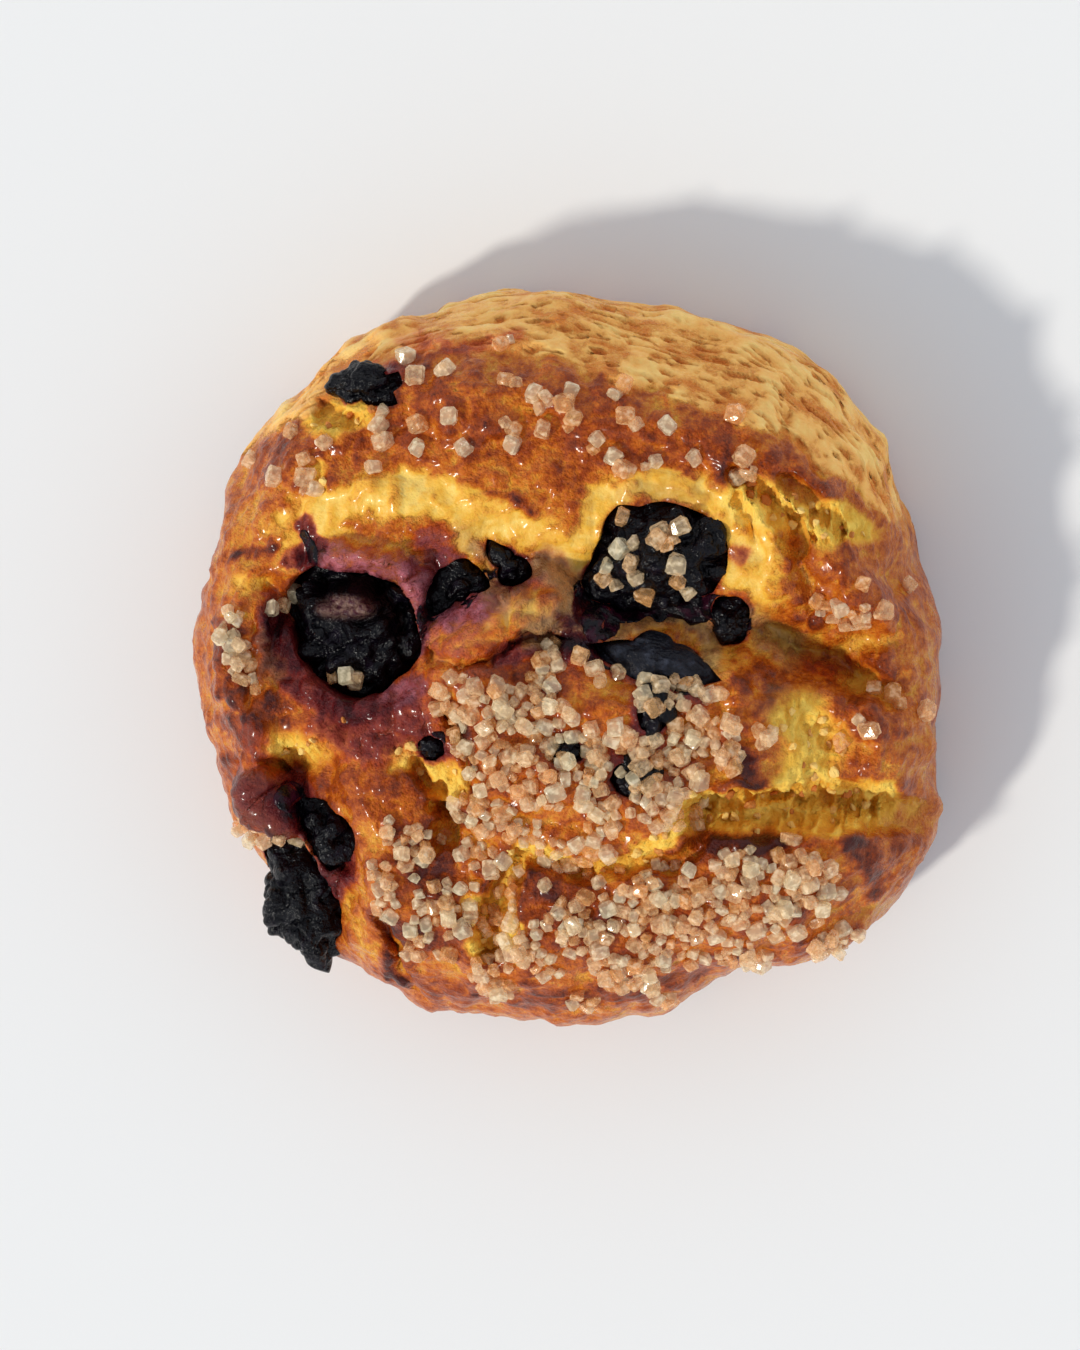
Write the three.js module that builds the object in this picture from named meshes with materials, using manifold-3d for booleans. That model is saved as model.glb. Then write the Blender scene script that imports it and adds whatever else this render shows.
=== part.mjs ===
// A free-form fruit scone, baked until its crust split: one loaf of dough with coarse sugar
// baked on, and the berries that show in its top and side, each in a socket of its own.
// Millimetres, +Z up. The scone rests on its flat underside at z = 0, centred on the Z axis,
// and +Y points to its plain back, where the crust rolls over into the open crumb of the side.
import * as THREE from "three";
import { mergeVertices } from "three/addons/utils/BufferGeometryUtils.js";
import Module from "manifold-3d";

const wasm = await Module();
wasm.setup();

// ---------------------------------------------------------------- driving dimensions
const MEAN_RADIUS = 44.7; // plan radius at the widest level
const WIDEST_LEVEL = 7; // height of the widest level above the tray
const CROWN_RISE = 25.5; // from the widest level up to the crown, before the relief
const TUCK_DEPTH = 16; // how far down the lower half would run if the tray didn't cut it off
const SQUARENESS = 0.74; // exponent of the section: 1 is an ellipse, less is squarer
const CENTRING = [0.6, -0.15]; // moves the middle of the whole over the origin

// Slow waves of the plan outline: how many round the scone, their swing and their direction.
const OUTLINE_WAVES = [
  { count: 2, swing: 0.96, degrees: -39 },
  { count: 3, swing: 0.39, degrees: -98 },
  { count: 4, swing: 1.03, degrees: -150 },
  { count: 5, swing: 0.85, degrees: -167 },
  { count: 8, swing: 0.3, degrees: 54 },
];
// Degrees down from the crown where the top's relief ends and the side's begins and ends.
const TOP_FADE = [52, 86];
const SIDE_FADE_IN = [45, 75];
const SIDE_FADE_OUT = [104, 118];

// Uneven swelling of the dough: how far, over what length across and up, in how many layers.
const TOP_LUMPS = { swing: 1.5, across: 9, up: 9, seed: 3, layers: 3 };
const TOP_CRAGS = { swing: 0.7, across: 3.2, up: 3.2, seed: 5, layers: 2 };
const SIDE_SWELL = { swing: 1.4, across: 11, up: 11, seed: 21, layers: 2 };
const SIDE_FURROWS = { swing: 0.9, across: 4.2, up: 11, seed: 23, layers: 2 };
// How far the paths of folds and splits wander, slowly and quickly, along X and along Y.
const WANDER_X = [{ swing: 1, across: 5, seed: 11 }, { swing: 0.5, across: 2, seed: 12 }];
const WANDER_Y = [{ swing: 1, across: 5, seed: 13 }, { swing: 0.5, across: 2, seed: 14 }];
// Each further layer of unevenness is this much finer and lower than the one before.
const LAYER_SCALE = 2.03;
const LAYER_GAIN = 0.5;
const LAYER_SHIFT = 17.3; // keeps the layers out of step
const SPLIT_EDGE = [0.55, 1.3]; // shares of a split's half-width between which its side rises

const DOUGH_DETAIL = 12; // the dough has 20 * (DOUGH_DETAIL + 1)^2 triangles before it is cut
const UNDERSIDE_SHARE = 0.04; // share of those that the flat underside gets
const CROWN_FAVOUR = 1.6; // how much denser they lie on the top than on the side
const CROWN_SHARE = 0.55; // share of the crown's rise above which a place counts as top
const SECTION_STEPS = 600; // steps of the table of the skin's area

const SOCKET_GAP = 0.35; // clearance between a berry and its socket
const SOCKET_SPARE = 1.35; // how much further a socket's flat faces are set, for that clearance
const WRINKLE_DENSITY = 2.2; // wrinkles of a berry's skin for each of its half-sizes
const WRINKLE_SEED = 31;
const SUGAR_PROUD = 0.62; // share of a crystal's height that stands out of the crust
const SUGAR_SIZE = [1.7, 2.7]; // edge of a scattered crystal, smallest and largest
const PLACED_SUGAR_SIZE = [2, 2.7]; // edge of a crystal that lies on its own
const SUGAR_SPACING = 2.35; // least distance between two scattered crystals
const SUGAR_WIDTH = [0.75, 1.05]; // a crystal's width and height as shares of its length
const SUGAR_HEIGHT = [0.7, 1];
const SUGAR_UNEVEN = 0.22; // how far its corners stray, as a share of its length
const SUGAR_LEAN = 0.9; // how far crystals lean any way, in radians
const SUGAR_REACH = 0.75; // how far it reaches from its middle, as a share of its length
const SUGAR_SEED = 20;
const PLACING_ATTEMPTS = 200; // tries to find each scattered crystal a free place

// Swellings (+) and hollows (-) of the top, each along a path on the plan:
// half is the half-width at which it has mostly faded, rise its height in the middle.
const FOLDS = [
  { name: "back ridge", half: 5, rise: 2.6, path: [[-32.5, 25], [-26, 29.5], [-15.5, 32], [-1.5, 32], [11, 29.5], [21, 27], [31.5, 21]] },
  { name: "left rim", half: 3.4, rise: 3.2, path: [[-36.5, 10], [-38, 3.5], [-37.5, -3.5], [-34.5, -8.5]] },
  { name: "left knob", half: 3.2, rise: 3.6, path: [[-35, -13.5], [-32, -17.5]] },
  { name: "middle lump", half: 3.6, rise: 3.8, path: [[-11.5, 2], [-5, 7], [-1, 9.5]] },
  { name: "middle mound", half: 4.2, rise: 2.4, path: [[-6.5, -2], [1.5, -3], [10, -4.5]] },
  { name: "sugared mound", half: 4.6, rise: 2.6, path: [[-7.5, -8.5], [0.5, -12], [10, -14.5], [19, -14.5]] },
  { name: "right mound", half: 4.6, rise: 2.4, path: [[20, -1.5], [22, -7.5]] },
  { name: "right lobe", half: 4.8, rise: 2.6, path: [[33, 13.5], [37.5, 7.5], [38.5, -0.5], [38, -8]] },
  { name: "front ridge", half: 5.4, rise: 2.6, path: [[-18, -29], [-5, -31.5], [10, -29.5], [23.5, -26], [34, -21.5]] },
  { name: "left front mound", half: 5, rise: 2.2, path: [[-21, -14], [-18, -22]] },
  { name: "stained swelling", half: 3.4, rise: 1.8, path: [[-24.5, -6.5], [-16.5, -4]] },
  { name: "collar of the burst berry", half: 1.6, rise: 2.6, path: [[-25.5, 12.5], [-20.5, 13.5], [-16, 10], [-15, 5]] },
  { name: "berry valley", half: 4.4, rise: -5, path: [[-29.5, 6.5], [-20.5, 7], [-12, 9.5], [-4, 12], [5, 9.5], [14.5, 6.5], [23.5, 4], [34, 1.5]] },
  { name: "burst berry's pit", half: 8.8, rise: -4, path: [[-23.5, 4.5]] },
  { name: "round berry's pit", half: 7.6, rise: -2.5, path: [[11.5, 12.5]] },
  { name: "flat berry's dip", half: 4, rise: -2, path: [[10, 3], [15.5, 1]] },
  { name: "crumb dip", half: 4, rise: -2, path: [[32, -8]] },
  { name: "right groove", half: 1.6, rise: -3, path: [[24, 4], [31.5, 1.5], [39.5, -2.5]] },
  { name: "side crevice", half: 2.2, rise: -3.6, path: [[-30, -12], [-27, -18.5], [-25, -24], [-26.5, -29.5]] },
  { name: "left crumb patch", half: 1.8, rise: -1.6, path: [[-30, -9.5], [-26.5, -10.5]] },
];
// Splits with steep sides where the crust tore and the crumb shows.
const SPLITS = [
  { name: "front split", half: 2.5, depth: 5.5, path: [[17, -16], [26, -15], [34, -15.5], [40, -18]] },
  { name: "left split", half: 1.1, depth: 3, path: [[-15, -11], [-12.5, -15], [-12.5, -19]] },
  { name: "deep hole", half: 1.6, depth: 3.6, path: [[-5, -22.5], [-7.5, -26.5], [-6.5, -31.5]] },
  { name: "pale seam", half: 1.2, depth: 2, path: [[-4, -20.5], [3, -23], [11, -21.5], [17, -19]] },
  { name: "torn back, inner", half: 1.1, depth: 2.4, path: [[21.5, 23.5], [27, 18], [28, 15]] },
  { name: "torn back, outer", half: 1, depth: 2.2, path: [[27, 22.5], [32.5, 17]] },
  { name: "fold seam", half: 0.7, depth: 1.8, path: [[-12, -3], [-10, -7.5], [-9, -13.5]] },
  { name: "front seam", half: 0.8, depth: 1.8, path: [[-20, -29], [-18.5, -33.5], [-18, -38.5]] },
  { name: "left back split", half: 1.4, depth: 2.4, path: [[-27.5, 30.5], [-23.5, 29.5]] },
];
// Bulges (+) and notches (-) of the side: where round the scone and how high they sit,
// the half-sizes round and up, and how far they stand out.
const BULGES = [
  { name: "nub", degrees: -20, level: 14, round: 2.4, up: 4, rise: 1.8 },
  { name: "right lobe", degrees: 1, level: 14, round: 5, up: 12, rise: 0.8 },
  { name: "notch behind the right lobe", degrees: 16, level: 16, round: 3, up: 14, rise: -1.6 },
  { name: "flat of the right front", degrees: -60, level: 12, round: 5, up: 14, rise: -1.8 },
  { name: "front foot", degrees: -75, level: 9, round: 4, up: 9, rise: 1.3 },
  { name: "left front foot", degrees: -112, level: 8, round: 4, up: 8, rise: 0.9 },
  { name: "notch of the left rim", degrees: 165, level: 14, round: 4, up: 12, rise: -1 },
];
// Berries: the middle on the plan, its height above the skin there, the three half-sizes,
// the turn about X, Y and Z in degrees, how deep the skin is wrinkled, how finely it is drawn,
// and the directions of the crystals on it in degrees round and up.
const BERRIES = [
  { name: "berry_burst", at: [-23, 4.2], lift: -1.1, half: [7.8, 7.4, 4.8], turn: [0, -8, 20], wrinkle: 1.1, detail: 3 },
  { name: "berry_round", at: [11.8, 13.6], lift: -1.6, half: [7.7, 5.7, 5.4], turn: [0, 0, 8], wrinkle: 0.6, detail: 3,
    sugar: [[95, 62], [160, 48], [230, 58], [300, 62], [205, 36]] },
  { name: "berry_gap_left", at: [-11, 9.8], lift: -0.8, half: [3, 2.2, 2.4], turn: [0, 0, 25], wrinkle: 0.4, detail: 2 },
  { name: "berry_gap_right", at: [-5.4, 12.6], lift: -0.7, half: [1.8, 2.6, 2.2], turn: [0, 0, 25], wrinkle: 0.3, detail: 1 },
  { name: "berry_flat", at: [11.6, 2.6], lift: -0.3, half: [6.2, 2.9, 1.7], turn: [-32, 0, -16], wrinkle: 0.3, detail: 2 },
  { name: "berry_corner", at: [20.2, 6.2], lift: -0.6, half: [2, 2.8, 2.2], turn: [0, 0, 0], wrinkle: 0.3, detail: 2 },
  { name: "berry_back_edge", at: [-22.4, 32.6], lift: -0.6, half: [3.9, 2, 2.3], turn: [-25, 0, -8], wrinkle: 0.3, detail: 1 },
  { name: "berry_crevice", at: [-27.2, -19.2], lift: -0.4, half: [3, 3.7, 2.8], turn: [0, 0, 28], wrinkle: 0.5, detail: 2 },
  { name: "berry_hanging", at: [-31.2, -28.6], lift: -1.6, half: [4.2, 7.3, 4.2], turn: [18, 0, 14], wrinkle: 1.2, detail: 3 },
  { name: "berry_sugar_low", at: [9.4, -11.2], lift: -0.5, half: [2.3, 1.9, 1.8], turn: [0, 0, 10], wrinkle: 0.3, detail: 1 },
  { name: "berry_sugar_middle", at: [2, -8.2], lift: -0.5, half: [2.1, 1.3, 1.6], turn: [0, 0, 0], wrinkle: 0.3, detail: 1 },
  { name: "berry_tail", at: [12, -3.6], lift: -0.5, half: [1.8, 2.5, 1.8], turn: [0, 0, -10], wrinkle: 0.3, detail: 1 },
  { name: "berry_speck", at: [-13.6, -8.2], lift: -0.4, half: [1.5, 1.3, 1.4], turn: [0, 0, 0], wrinkle: 0.2, detail: 1 },
];
// Crystals that lie on their own on the back ridge, the right lobe and the left rim.
const PLACED_SUGAR = [
  [-12.5, 34.5], [-16.5, 34.5], [-6, 33.5], [-1.5, 32], [1.2, 31], [2.6, 28.6], [-4.5, 29.5], [-5.2, 27],
  [-1, 27.2], [-6, 37.5], [8, 33.5], [8.5, 30], [5, 27], [7.2, 24.6], [12, 25], [15.5, 24.5], [21, 25.5],
  [22, 23], [17, 29.5], [-19.5, 27.5], [-15.5, 27.5], [-12, 27], [-30, 27], [-29.6, 23.5], [-32.4, 24.6],
  [-28, 20], [-21.5, 23.5], [34.5, 10], [41, 9.5], [30.5, 8], [36, 6.3], [39, -1.5], [36.5, -1.5],
  [42, -3.5], [36.5, -6.5], [40, 5.5], [39.5, 13.5], [-32, -8], [-36.5, 0.5], [-37, 6], [-34, 3.5],
];
// Fields of scattered crystals: half is the half-width of the band that they fill.
const SUGAR_FIELDS = [
  { name: "middle", half: 6, count: 34, path: [[-8, -6], [-1, -9], [8, -12], [18, -12]] },
  { name: "front", half: 6, count: 34, path: [[-17, -25], [-4, -30], [10, -29], [24, -25], [33, -22]] },
  { name: "left front", half: 3.4, count: 10, path: [[-20, -20], [-14, -27], [-13, -19]] },
  { name: "left rim", half: 2.2, count: 5, path: [[-37, 7], [-36, 1], [-36.5, -4]] },
];

const DOUGH_COLOUR = 0xb8702c;
const DOUGH_ROUGHNESS = 0.55;
const BERRY_COLOUR = 0x17141f;
const BERRY_ROUGHNESS = 0.2;

// ---------------------------------------------------------------- small mathematics
const radians = (degrees) => (degrees * Math.PI) / 180;
const clamp01 = (v) => Math.min(1, Math.max(0, v));
const mix = (a, b, t) => a + (b - a) * t;
function smoothStep(from, to, v) {
  const t = clamp01((v - from) / (to - from));
  return t * t * (3 - 2 * t);
}

// A repeatable number from 0 to 1 for each whole-numbered point of space.
function latticeValue(ix, iy, iz, seed) {
  let h = Math.imul(ix, 374761393) + Math.imul(iy, 668265263);
  h = (h + Math.imul(iz, 1440662683) + Math.imul(seed, 974634777)) | 0;
  h = Math.imul(h ^ (h >>> 13), 1274126177);
  return ((h ^ (h >>> 16)) >>> 0) / 4294967296;
}

// Smooth noise from -1 to 1, one feature for each unit of length.
function noise(x, y, z, seed) {
  const cell = [Math.floor(x), Math.floor(y), Math.floor(z)];
  const ease = [x - cell[0], y - cell[1], z - cell[2]].map((f) => f * f * f * (f * (f * 6 - 15) + 10));
  let sum = 0;
  for (let corner = 0; corner < 8; corner++) {
    const step = [corner & 1, (corner >> 1) & 1, corner >> 2];
    const weight = step.reduce((w, s, i) => w * (s ? ease[i] : 1 - ease[i]), 1);
    sum += weight * latticeValue(cell[0] + step[0], cell[1] + step[1], cell[2] + step[2], seed);
  }
  return sum * 2 - 1;
}

function layeredNoise(x, y, z, seed, layers) {
  let sum = 0;
  let total = 0;
  for (let layer = 0; layer < layers; layer++) {
    const scale = LAYER_SCALE ** layer;
    const gain = LAYER_GAIN ** layer;
    const shift = LAYER_SHIFT * layer;
    sum += gain * noise(x * scale + shift, y * scale + shift, z * scale + shift, seed + layer);
    total += gain;
  }
  return sum / total;
}

// A repeatable stream of numbers from 0 to 1.
function randomStream(seed) {
  let state = seed;
  return () => {
    state = (state + 0x6d2b79f5) | 0;
    let t = Math.imul(state ^ (state >>> 15), 1 | state);
    t = (t + Math.imul(t ^ (t >>> 7), 61 | t)) ^ t;
    return ((t ^ (t >>> 14)) >>> 0) / 4294967296;
  };
}

function distanceToPath(x, y, path) {
  if (path.length === 1) return Math.hypot(x - path[0][0], y - path[0][1]);
  let nearest = Infinity;
  for (let i = 1; i < path.length; i++) {
    const [ax, ay] = path[i - 1];
    const [bx, by] = path[i];
    const along = ((x - ax) * (bx - ax) + (y - ay) * (by - ay)) / ((bx - ax) ** 2 + (by - ay) ** 2);
    const s = clamp01(along);
    nearest = Math.min(nearest, Math.hypot(x - mix(ax, bx, s), y - mix(ay, by, s)));
  }
  return nearest;
}

// ---------------------------------------------------------------- the dough's skin
function outlineRadius(around) {
  return OUTLINE_WAVES.reduce(
    (r, w) => r + w.swing * Math.cos(w.count * around - radians(w.degrees)),
    MEAN_RADIUS,
  );
}

// The section from the crown (down = 0) to the tray: share of the outline radius, and height.
const TRAY_ANGLE = Math.PI / 2 + Math.asin((WIDEST_LEVEL / TUCK_DEPTH) ** (1 / SQUARENESS));
function section(down) {
  const rise = Math.abs(Math.cos(down)) ** SQUARENESS;
  return {
    share: Math.sin(down) ** SQUARENESS,
    height: WIDEST_LEVEL + (down < Math.PI / 2 ? CROWN_RISE : -TUCK_DEPTH) * rise,
  };
}

// Table that turns a share of the skin's area, counted from the crown, into an angle down.
const areaTable = [0];
for (let i = 1; i <= SECTION_STEPS; i++) {
  const a = section((TRAY_ANGLE * (i - 1)) / SECTION_STEPS);
  const b = section((TRAY_ANGLE * i) / SECTION_STEPS);
  const slant = Math.hypot((b.share - a.share) * MEAN_RADIUS, b.height - a.height);
  const onTop = (a.height + b.height) / 2 > WIDEST_LEVEL + CROWN_RISE * CROWN_SHARE;
  const ring = ((a.share + b.share) / 2) * slant * (onTop ? 1 + CROWN_FAVOUR : 1);
  areaTable.push(areaTable[i - 1] + ring);
}

function angleAtShare(share) {
  const wanted = share * areaTable[SECTION_STEPS];
  let i = 1;
  while (i < SECTION_STEPS && areaTable[i] < wanted) i++;
  const part = (wanted - areaTable[i - 1]) / (areaTable[i] - areaTable[i - 1]);
  return (TRAY_ANGLE * (i - 1 + clamp01(part))) / SECTION_STEPS;
}

function unevenness(kind, x, y, z) {
  return kind.swing * layeredNoise(x / kind.across, y / kind.across, z / kind.up, kind.seed, kind.layers);
}

function wander(x, y, waves) {
  return waves.reduce((sum, w) => sum + w.swing * noise(x / w.across, y / w.across, 0, w.seed), 0);
}

// Height that the folds and splits add to the top at a place on the plan.
function relief(x, y) {
  const strayX = x + wander(x, y, WANDER_X);
  const strayY = y + wander(x, y, WANDER_Y);
  let height = 0;
  for (const fold of FOLDS) {
    const d = distanceToPath(strayX, strayY, fold.path) / fold.half;
    height += fold.rise * Math.exp(-d * d);
  }
  for (const split of SPLITS) {
    const d = distanceToPath(strayX, strayY, split.path) / split.half;
    height -= split.depth * (1 - smoothStep(...SPLIT_EDGE, d));
  }
  return height;
}

// How far the bulges and notches move the side out at a place.
function bulgeAt(around, level) {
  return BULGES.reduce((out, bulge) => {
    const turn = Math.abs(around - radians(bulge.degrees)) % (2 * Math.PI);
    const away = (Math.min(turn, 2 * Math.PI - turn) * MEAN_RADIUS) / bulge.round;
    return out + bulge.rise * Math.exp(-(away ** 2) - ((level - bulge.level) / bulge.up) ** 2);
  }, 0);
}

// A point of the skin: around the scone, and down from the crown, both in radians.
function skin(around, down) {
  const { share, height } = section(down);
  const radius = outlineRadius(around) * share;
  let x = radius * Math.cos(around);
  let y = radius * Math.sin(around);
  let z = height;
  const top = 1 - smoothStep(radians(TOP_FADE[0]), radians(TOP_FADE[1]), down);
  const side =
    smoothStep(radians(SIDE_FADE_IN[0]), radians(SIDE_FADE_IN[1]), down) *
    (1 - smoothStep(radians(SIDE_FADE_OUT[0]), radians(SIDE_FADE_OUT[1]), down));
  if (top > 0) {
    z += top * (relief(x, y) + unevenness(TOP_LUMPS, x, y, z) + unevenness(TOP_CRAGS, x, y, z));
  }
  if (side > 0) {
    const swell = unevenness(SIDE_SWELL, x, y, z) + unevenness(SIDE_FURROWS, x, y, z);
    const out = side * (swell + bulgeAt(around, z));
    x += out * Math.cos(around);
    y += out * Math.sin(around);
  }
  return new THREE.Vector3(x, y, Math.max(0, z));
}

// The skin's point and outward normal above a place on the plan, which lies inside the outline.
const PLAN_LIMIT = 0.985; // largest share of the outline radius that counts as inside
const SLOPE_STEP = 0.02; // radians each way over which the slope is measured
function skinAbove(x, y) {
  const around = Math.atan2(y, x);
  const share = Math.min(PLAN_LIMIT, Math.hypot(x, y) / outlineRadius(around));
  const down = Math.max(SLOPE_STEP, Math.asin(share ** (1 / SQUARENESS)));
  const at = skin(around, down);
  const alongDown = skin(around, down + SLOPE_STEP).sub(skin(around, down - SLOPE_STEP));
  const alongAround = skin(around + SLOPE_STEP, down).sub(skin(around - SLOPE_STEP, down));
  return { at, normal: alongDown.cross(alongAround).normalize() };
}

// ---------------------------------------------------------------- geometry and solids
const MERGE_DISTANCE = 1e-5; // corners of a unit ball closer than this are one

// A ball of even triangles with shared vertices, each moved by place(direction).
function shapedBall(detail, place) {
  const ball = new THREE.IcosahedronGeometry(1, detail);
  ball.deleteAttribute("normal");
  ball.deleteAttribute("uv");
  const shaped = mergeVertices(ball, MERGE_DISTANCE);
  const position = shaped.attributes.position;
  const direction = new THREE.Vector3();
  for (let i = 0; i < position.count; i++) {
    direction.fromBufferAttribute(position, i).normalize();
    const p = place(direction);
    position.setXYZ(i, p.x, p.y, p.z);
  }
  return shaped;
}

function solidOf(geometry) {
  return new wasm.Manifold(
    new wasm.Mesh({
      numProp: 3,
      vertProperties: Float32Array.from(geometry.attributes.position.array),
      triVerts: Uint32Array.from(geometry.index.array),
    }),
  );
}

// The largest closed body of a solid, without loose scraps and sealed hollows.
function mainBody(solid) {
  return solid.decompose().reduce((best, body) => (body.volume() > best.volume() ? body : best));
}

function meshOf(solid, name, colour, roughness) {
  const made = solid.getMesh();
  const geometry = new THREE.BufferGeometry();
  geometry.setAttribute("position", new THREE.BufferAttribute(Float32Array.from(made.vertProperties), 3));
  geometry.setIndex(new THREE.BufferAttribute(Uint32Array.from(made.triVerts), 1));
  geometry.computeVertexNormals();
  const material = new THREE.MeshStandardMaterial({ color: colour, roughness, metalness: 0, flatShading: true });
  const mesh = new THREE.Mesh(geometry, material);
  mesh.name = name;
  return mesh;
}

// ---------------------------------------------------------------- pieces
function doughGeometry() {
  return shapedBall(DOUGH_DETAIL, (direction) => {
    const share = (1 - direction.z) / 2; // of a ball's area, above this direction
    const around = Math.atan2(direction.y, direction.x);
    if (share <= 1 - UNDERSIDE_SHARE) return skin(around, angleAtShare(share / (1 - UNDERSIDE_SHARE)));
    const rim = skin(around, TRAY_ANGLE);
    return rim.multiplyScalar(Math.sqrt((1 - share) / UNDERSIDE_SHARE)).setZ(0);
  });
}

function berryMiddle(berry) {
  const [x, y] = berry.at;
  return new THREE.Vector3(x, y, skinAbove(x, y).at.z + berry.lift);
}

// A baked berry: an uneven ball with a wrinkled skin, grown all round by a clearance.
function berryGeometry(berry, clearance) {
  const turn = new THREE.Quaternion().setFromEuler(new THREE.Euler(...berry.turn.map(radians)));
  const middle = berryMiddle(berry);
  const grow = 1 + (clearance * SOCKET_SPARE) / Math.min(...berry.half);
  return shapedBall(berry.detail, (direction) => {
    const [x, y, z] = direction.clone().multiplyScalar(WRINKLE_DENSITY).toArray();
    const dent = berry.wrinkle * layeredNoise(x + berry.at[0], y + berry.at[1], z, WRINKLE_SEED, 2);
    const stretch = 1 + dent / Math.max(...berry.half);
    return direction
      .clone()
      .multiply(new THREE.Vector3(...berry.half))
      .multiplyScalar(stretch * grow)
      .applyQuaternion(turn)
      .add(middle);
  });
}

// A sugar crystal: a block with uneven corners, sunk partly into the surface that it lies on.
function crystalGeometry(at, normal, size, random) {
  const width = size * mix(...SUGAR_WIDTH, random());
  const height = size * mix(...SUGAR_HEIGHT, random());
  const block = new THREE.BoxGeometry(size, width, height);
  block.deleteAttribute("normal");
  block.deleteAttribute("uv");
  const crystal = mergeVertices(block);
  const position = crystal.attributes.position;
  for (let i = 0; i < position.array.length; i++) {
    position.array[i] += (random() - 0.5) * size * SUGAR_UNEVEN;
  }
  const upright = new THREE.Quaternion().setFromUnitVectors(new THREE.Vector3(0, 0, 1), normal);
  const leanX = (random() - 0.5) * SUGAR_LEAN;
  const leanY = (random() - 0.5) * SUGAR_LEAN;
  const lean = new THREE.Euler(leanX, leanY, random() * Math.PI * 2);
  crystal.applyQuaternion(new THREE.Quaternion().setFromEuler(lean));
  crystal.applyQuaternion(upright);
  const middle = at.clone().addScaledVector(normal, size * (SUGAR_PROUD - 0.5));
  return crystal.translate(middle.x, middle.y, middle.z);
}

// Whether a crystal of this size would reach a berry or its socket.
function isNearBerry(x, y, size) {
  return BERRIES.some((berry) => {
    const reach = Math.max(berry.half[0], berry.half[1]) + size * SUGAR_REACH;
    return Math.hypot(x - berry.at[0], y - berry.at[1]) < reach;
  });
}

function placeInField(field, random) {
  const leg = 1 + Math.floor(random() * (field.path.length - 1));
  const [from, to] = [field.path[leg - 1], field.path[leg]];
  const along = random();
  const x = mix(from[0], to[0], along) + (random() * 2 - 1) * field.half;
  const y = mix(from[1], to[1], along) + (random() * 2 - 1) * field.half;
  return { x, y };
}

// Places on the plan for the crystals of the dough: those that lie alone, then the fields.
function sugarPlaces(random) {
  const places = PLACED_SUGAR.map(([x, y]) => ({ x, y, size: mix(...PLACED_SUGAR_SIZE, random()) }));
  for (const field of SUGAR_FIELDS) {
    const sizes = Array.from({ length: field.count }, () => mix(...SUGAR_SIZE, random()));
    for (const size of sizes.sort((a, b) => b - a)) {
      for (let attempt = 0; attempt < PLACING_ATTEMPTS; attempt++) {
        const { x, y } = placeInField(field, random);
        const inSplit = SPLITS.some((split) => distanceToPath(x, y, split.path) < split.half + size / 2);
        const crowded = places.some((p) => Math.hypot(p.x - x, p.y - y) < SUGAR_SPACING);
        if (inSplit || crowded || isNearBerry(x, y, size)) continue;
        places.push({ x, y, size });
        break;
      }
    }
  }
  return places;
}

// The dough with its sugar, hollowed by the sockets of the berries.
function buildScone() {
  const random = randomStream(SUGAR_SEED);
  const crystals = sugarPlaces(random).map(({ x, y, size }) => {
    const { at, normal } = skinAbove(x, y);
    return solidOf(crystalGeometry(at, normal, size, random));
  });
  const sugared = wasm.Manifold.union([solidOf(doughGeometry()), ...crystals]);
  const sockets = BERRIES.map((berry) => solidOf(berryGeometry(berry, SOCKET_GAP)));
  return mainBody(sugared.subtract(wasm.Manifold.union(sockets)));
}

// A berry with the crystals that lie on it, given by their directions from its middle.
function buildBerry(berry) {
  const random = randomStream(SUGAR_SEED + 1);
  const crystals = (berry.sugar ?? []).map(([around, up]) => {
    const level = Math.cos(radians(up));
    const x = level * Math.cos(radians(around));
    const y = level * Math.sin(radians(around));
    const normal = new THREE.Vector3(x, y, Math.sin(radians(up)));
    const at = normal.clone().multiply(new THREE.Vector3(...berry.half)).add(berryMiddle(berry));
    return solidOf(crystalGeometry(at, normal, mix(...PLACED_SUGAR_SIZE, random()), random));
  });
  return mainBody(wasm.Manifold.union([solidOf(berryGeometry(berry, 0)), ...crystals]));
}

// ---------------------------------------------------------------- the whole
const scone = new THREE.Group();
scone.add(meshOf(buildScone(), "scone", DOUGH_COLOUR, DOUGH_ROUGHNESS));
for (const berry of BERRIES) {
  scone.add(meshOf(buildBerry(berry), berry.name, BERRY_COLOUR, BERRY_ROUGHNESS));
}
scone.position.set(CENTRING[0], CENTRING[1], 0);

export default scone;
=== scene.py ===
"""Looks of a free-form fruit scone: browned crust, torn crumb, berries, juice and coarse sugar."""

from math import cos, pi, radians, sin

import bmesh
import bpy
import numpy as np
from bpy.props import FloatProperty, IntProperty, PointerProperty
from mathutils import Euler, Matrix, Vector
from mathutils.bvhtree import BVHTree


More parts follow.
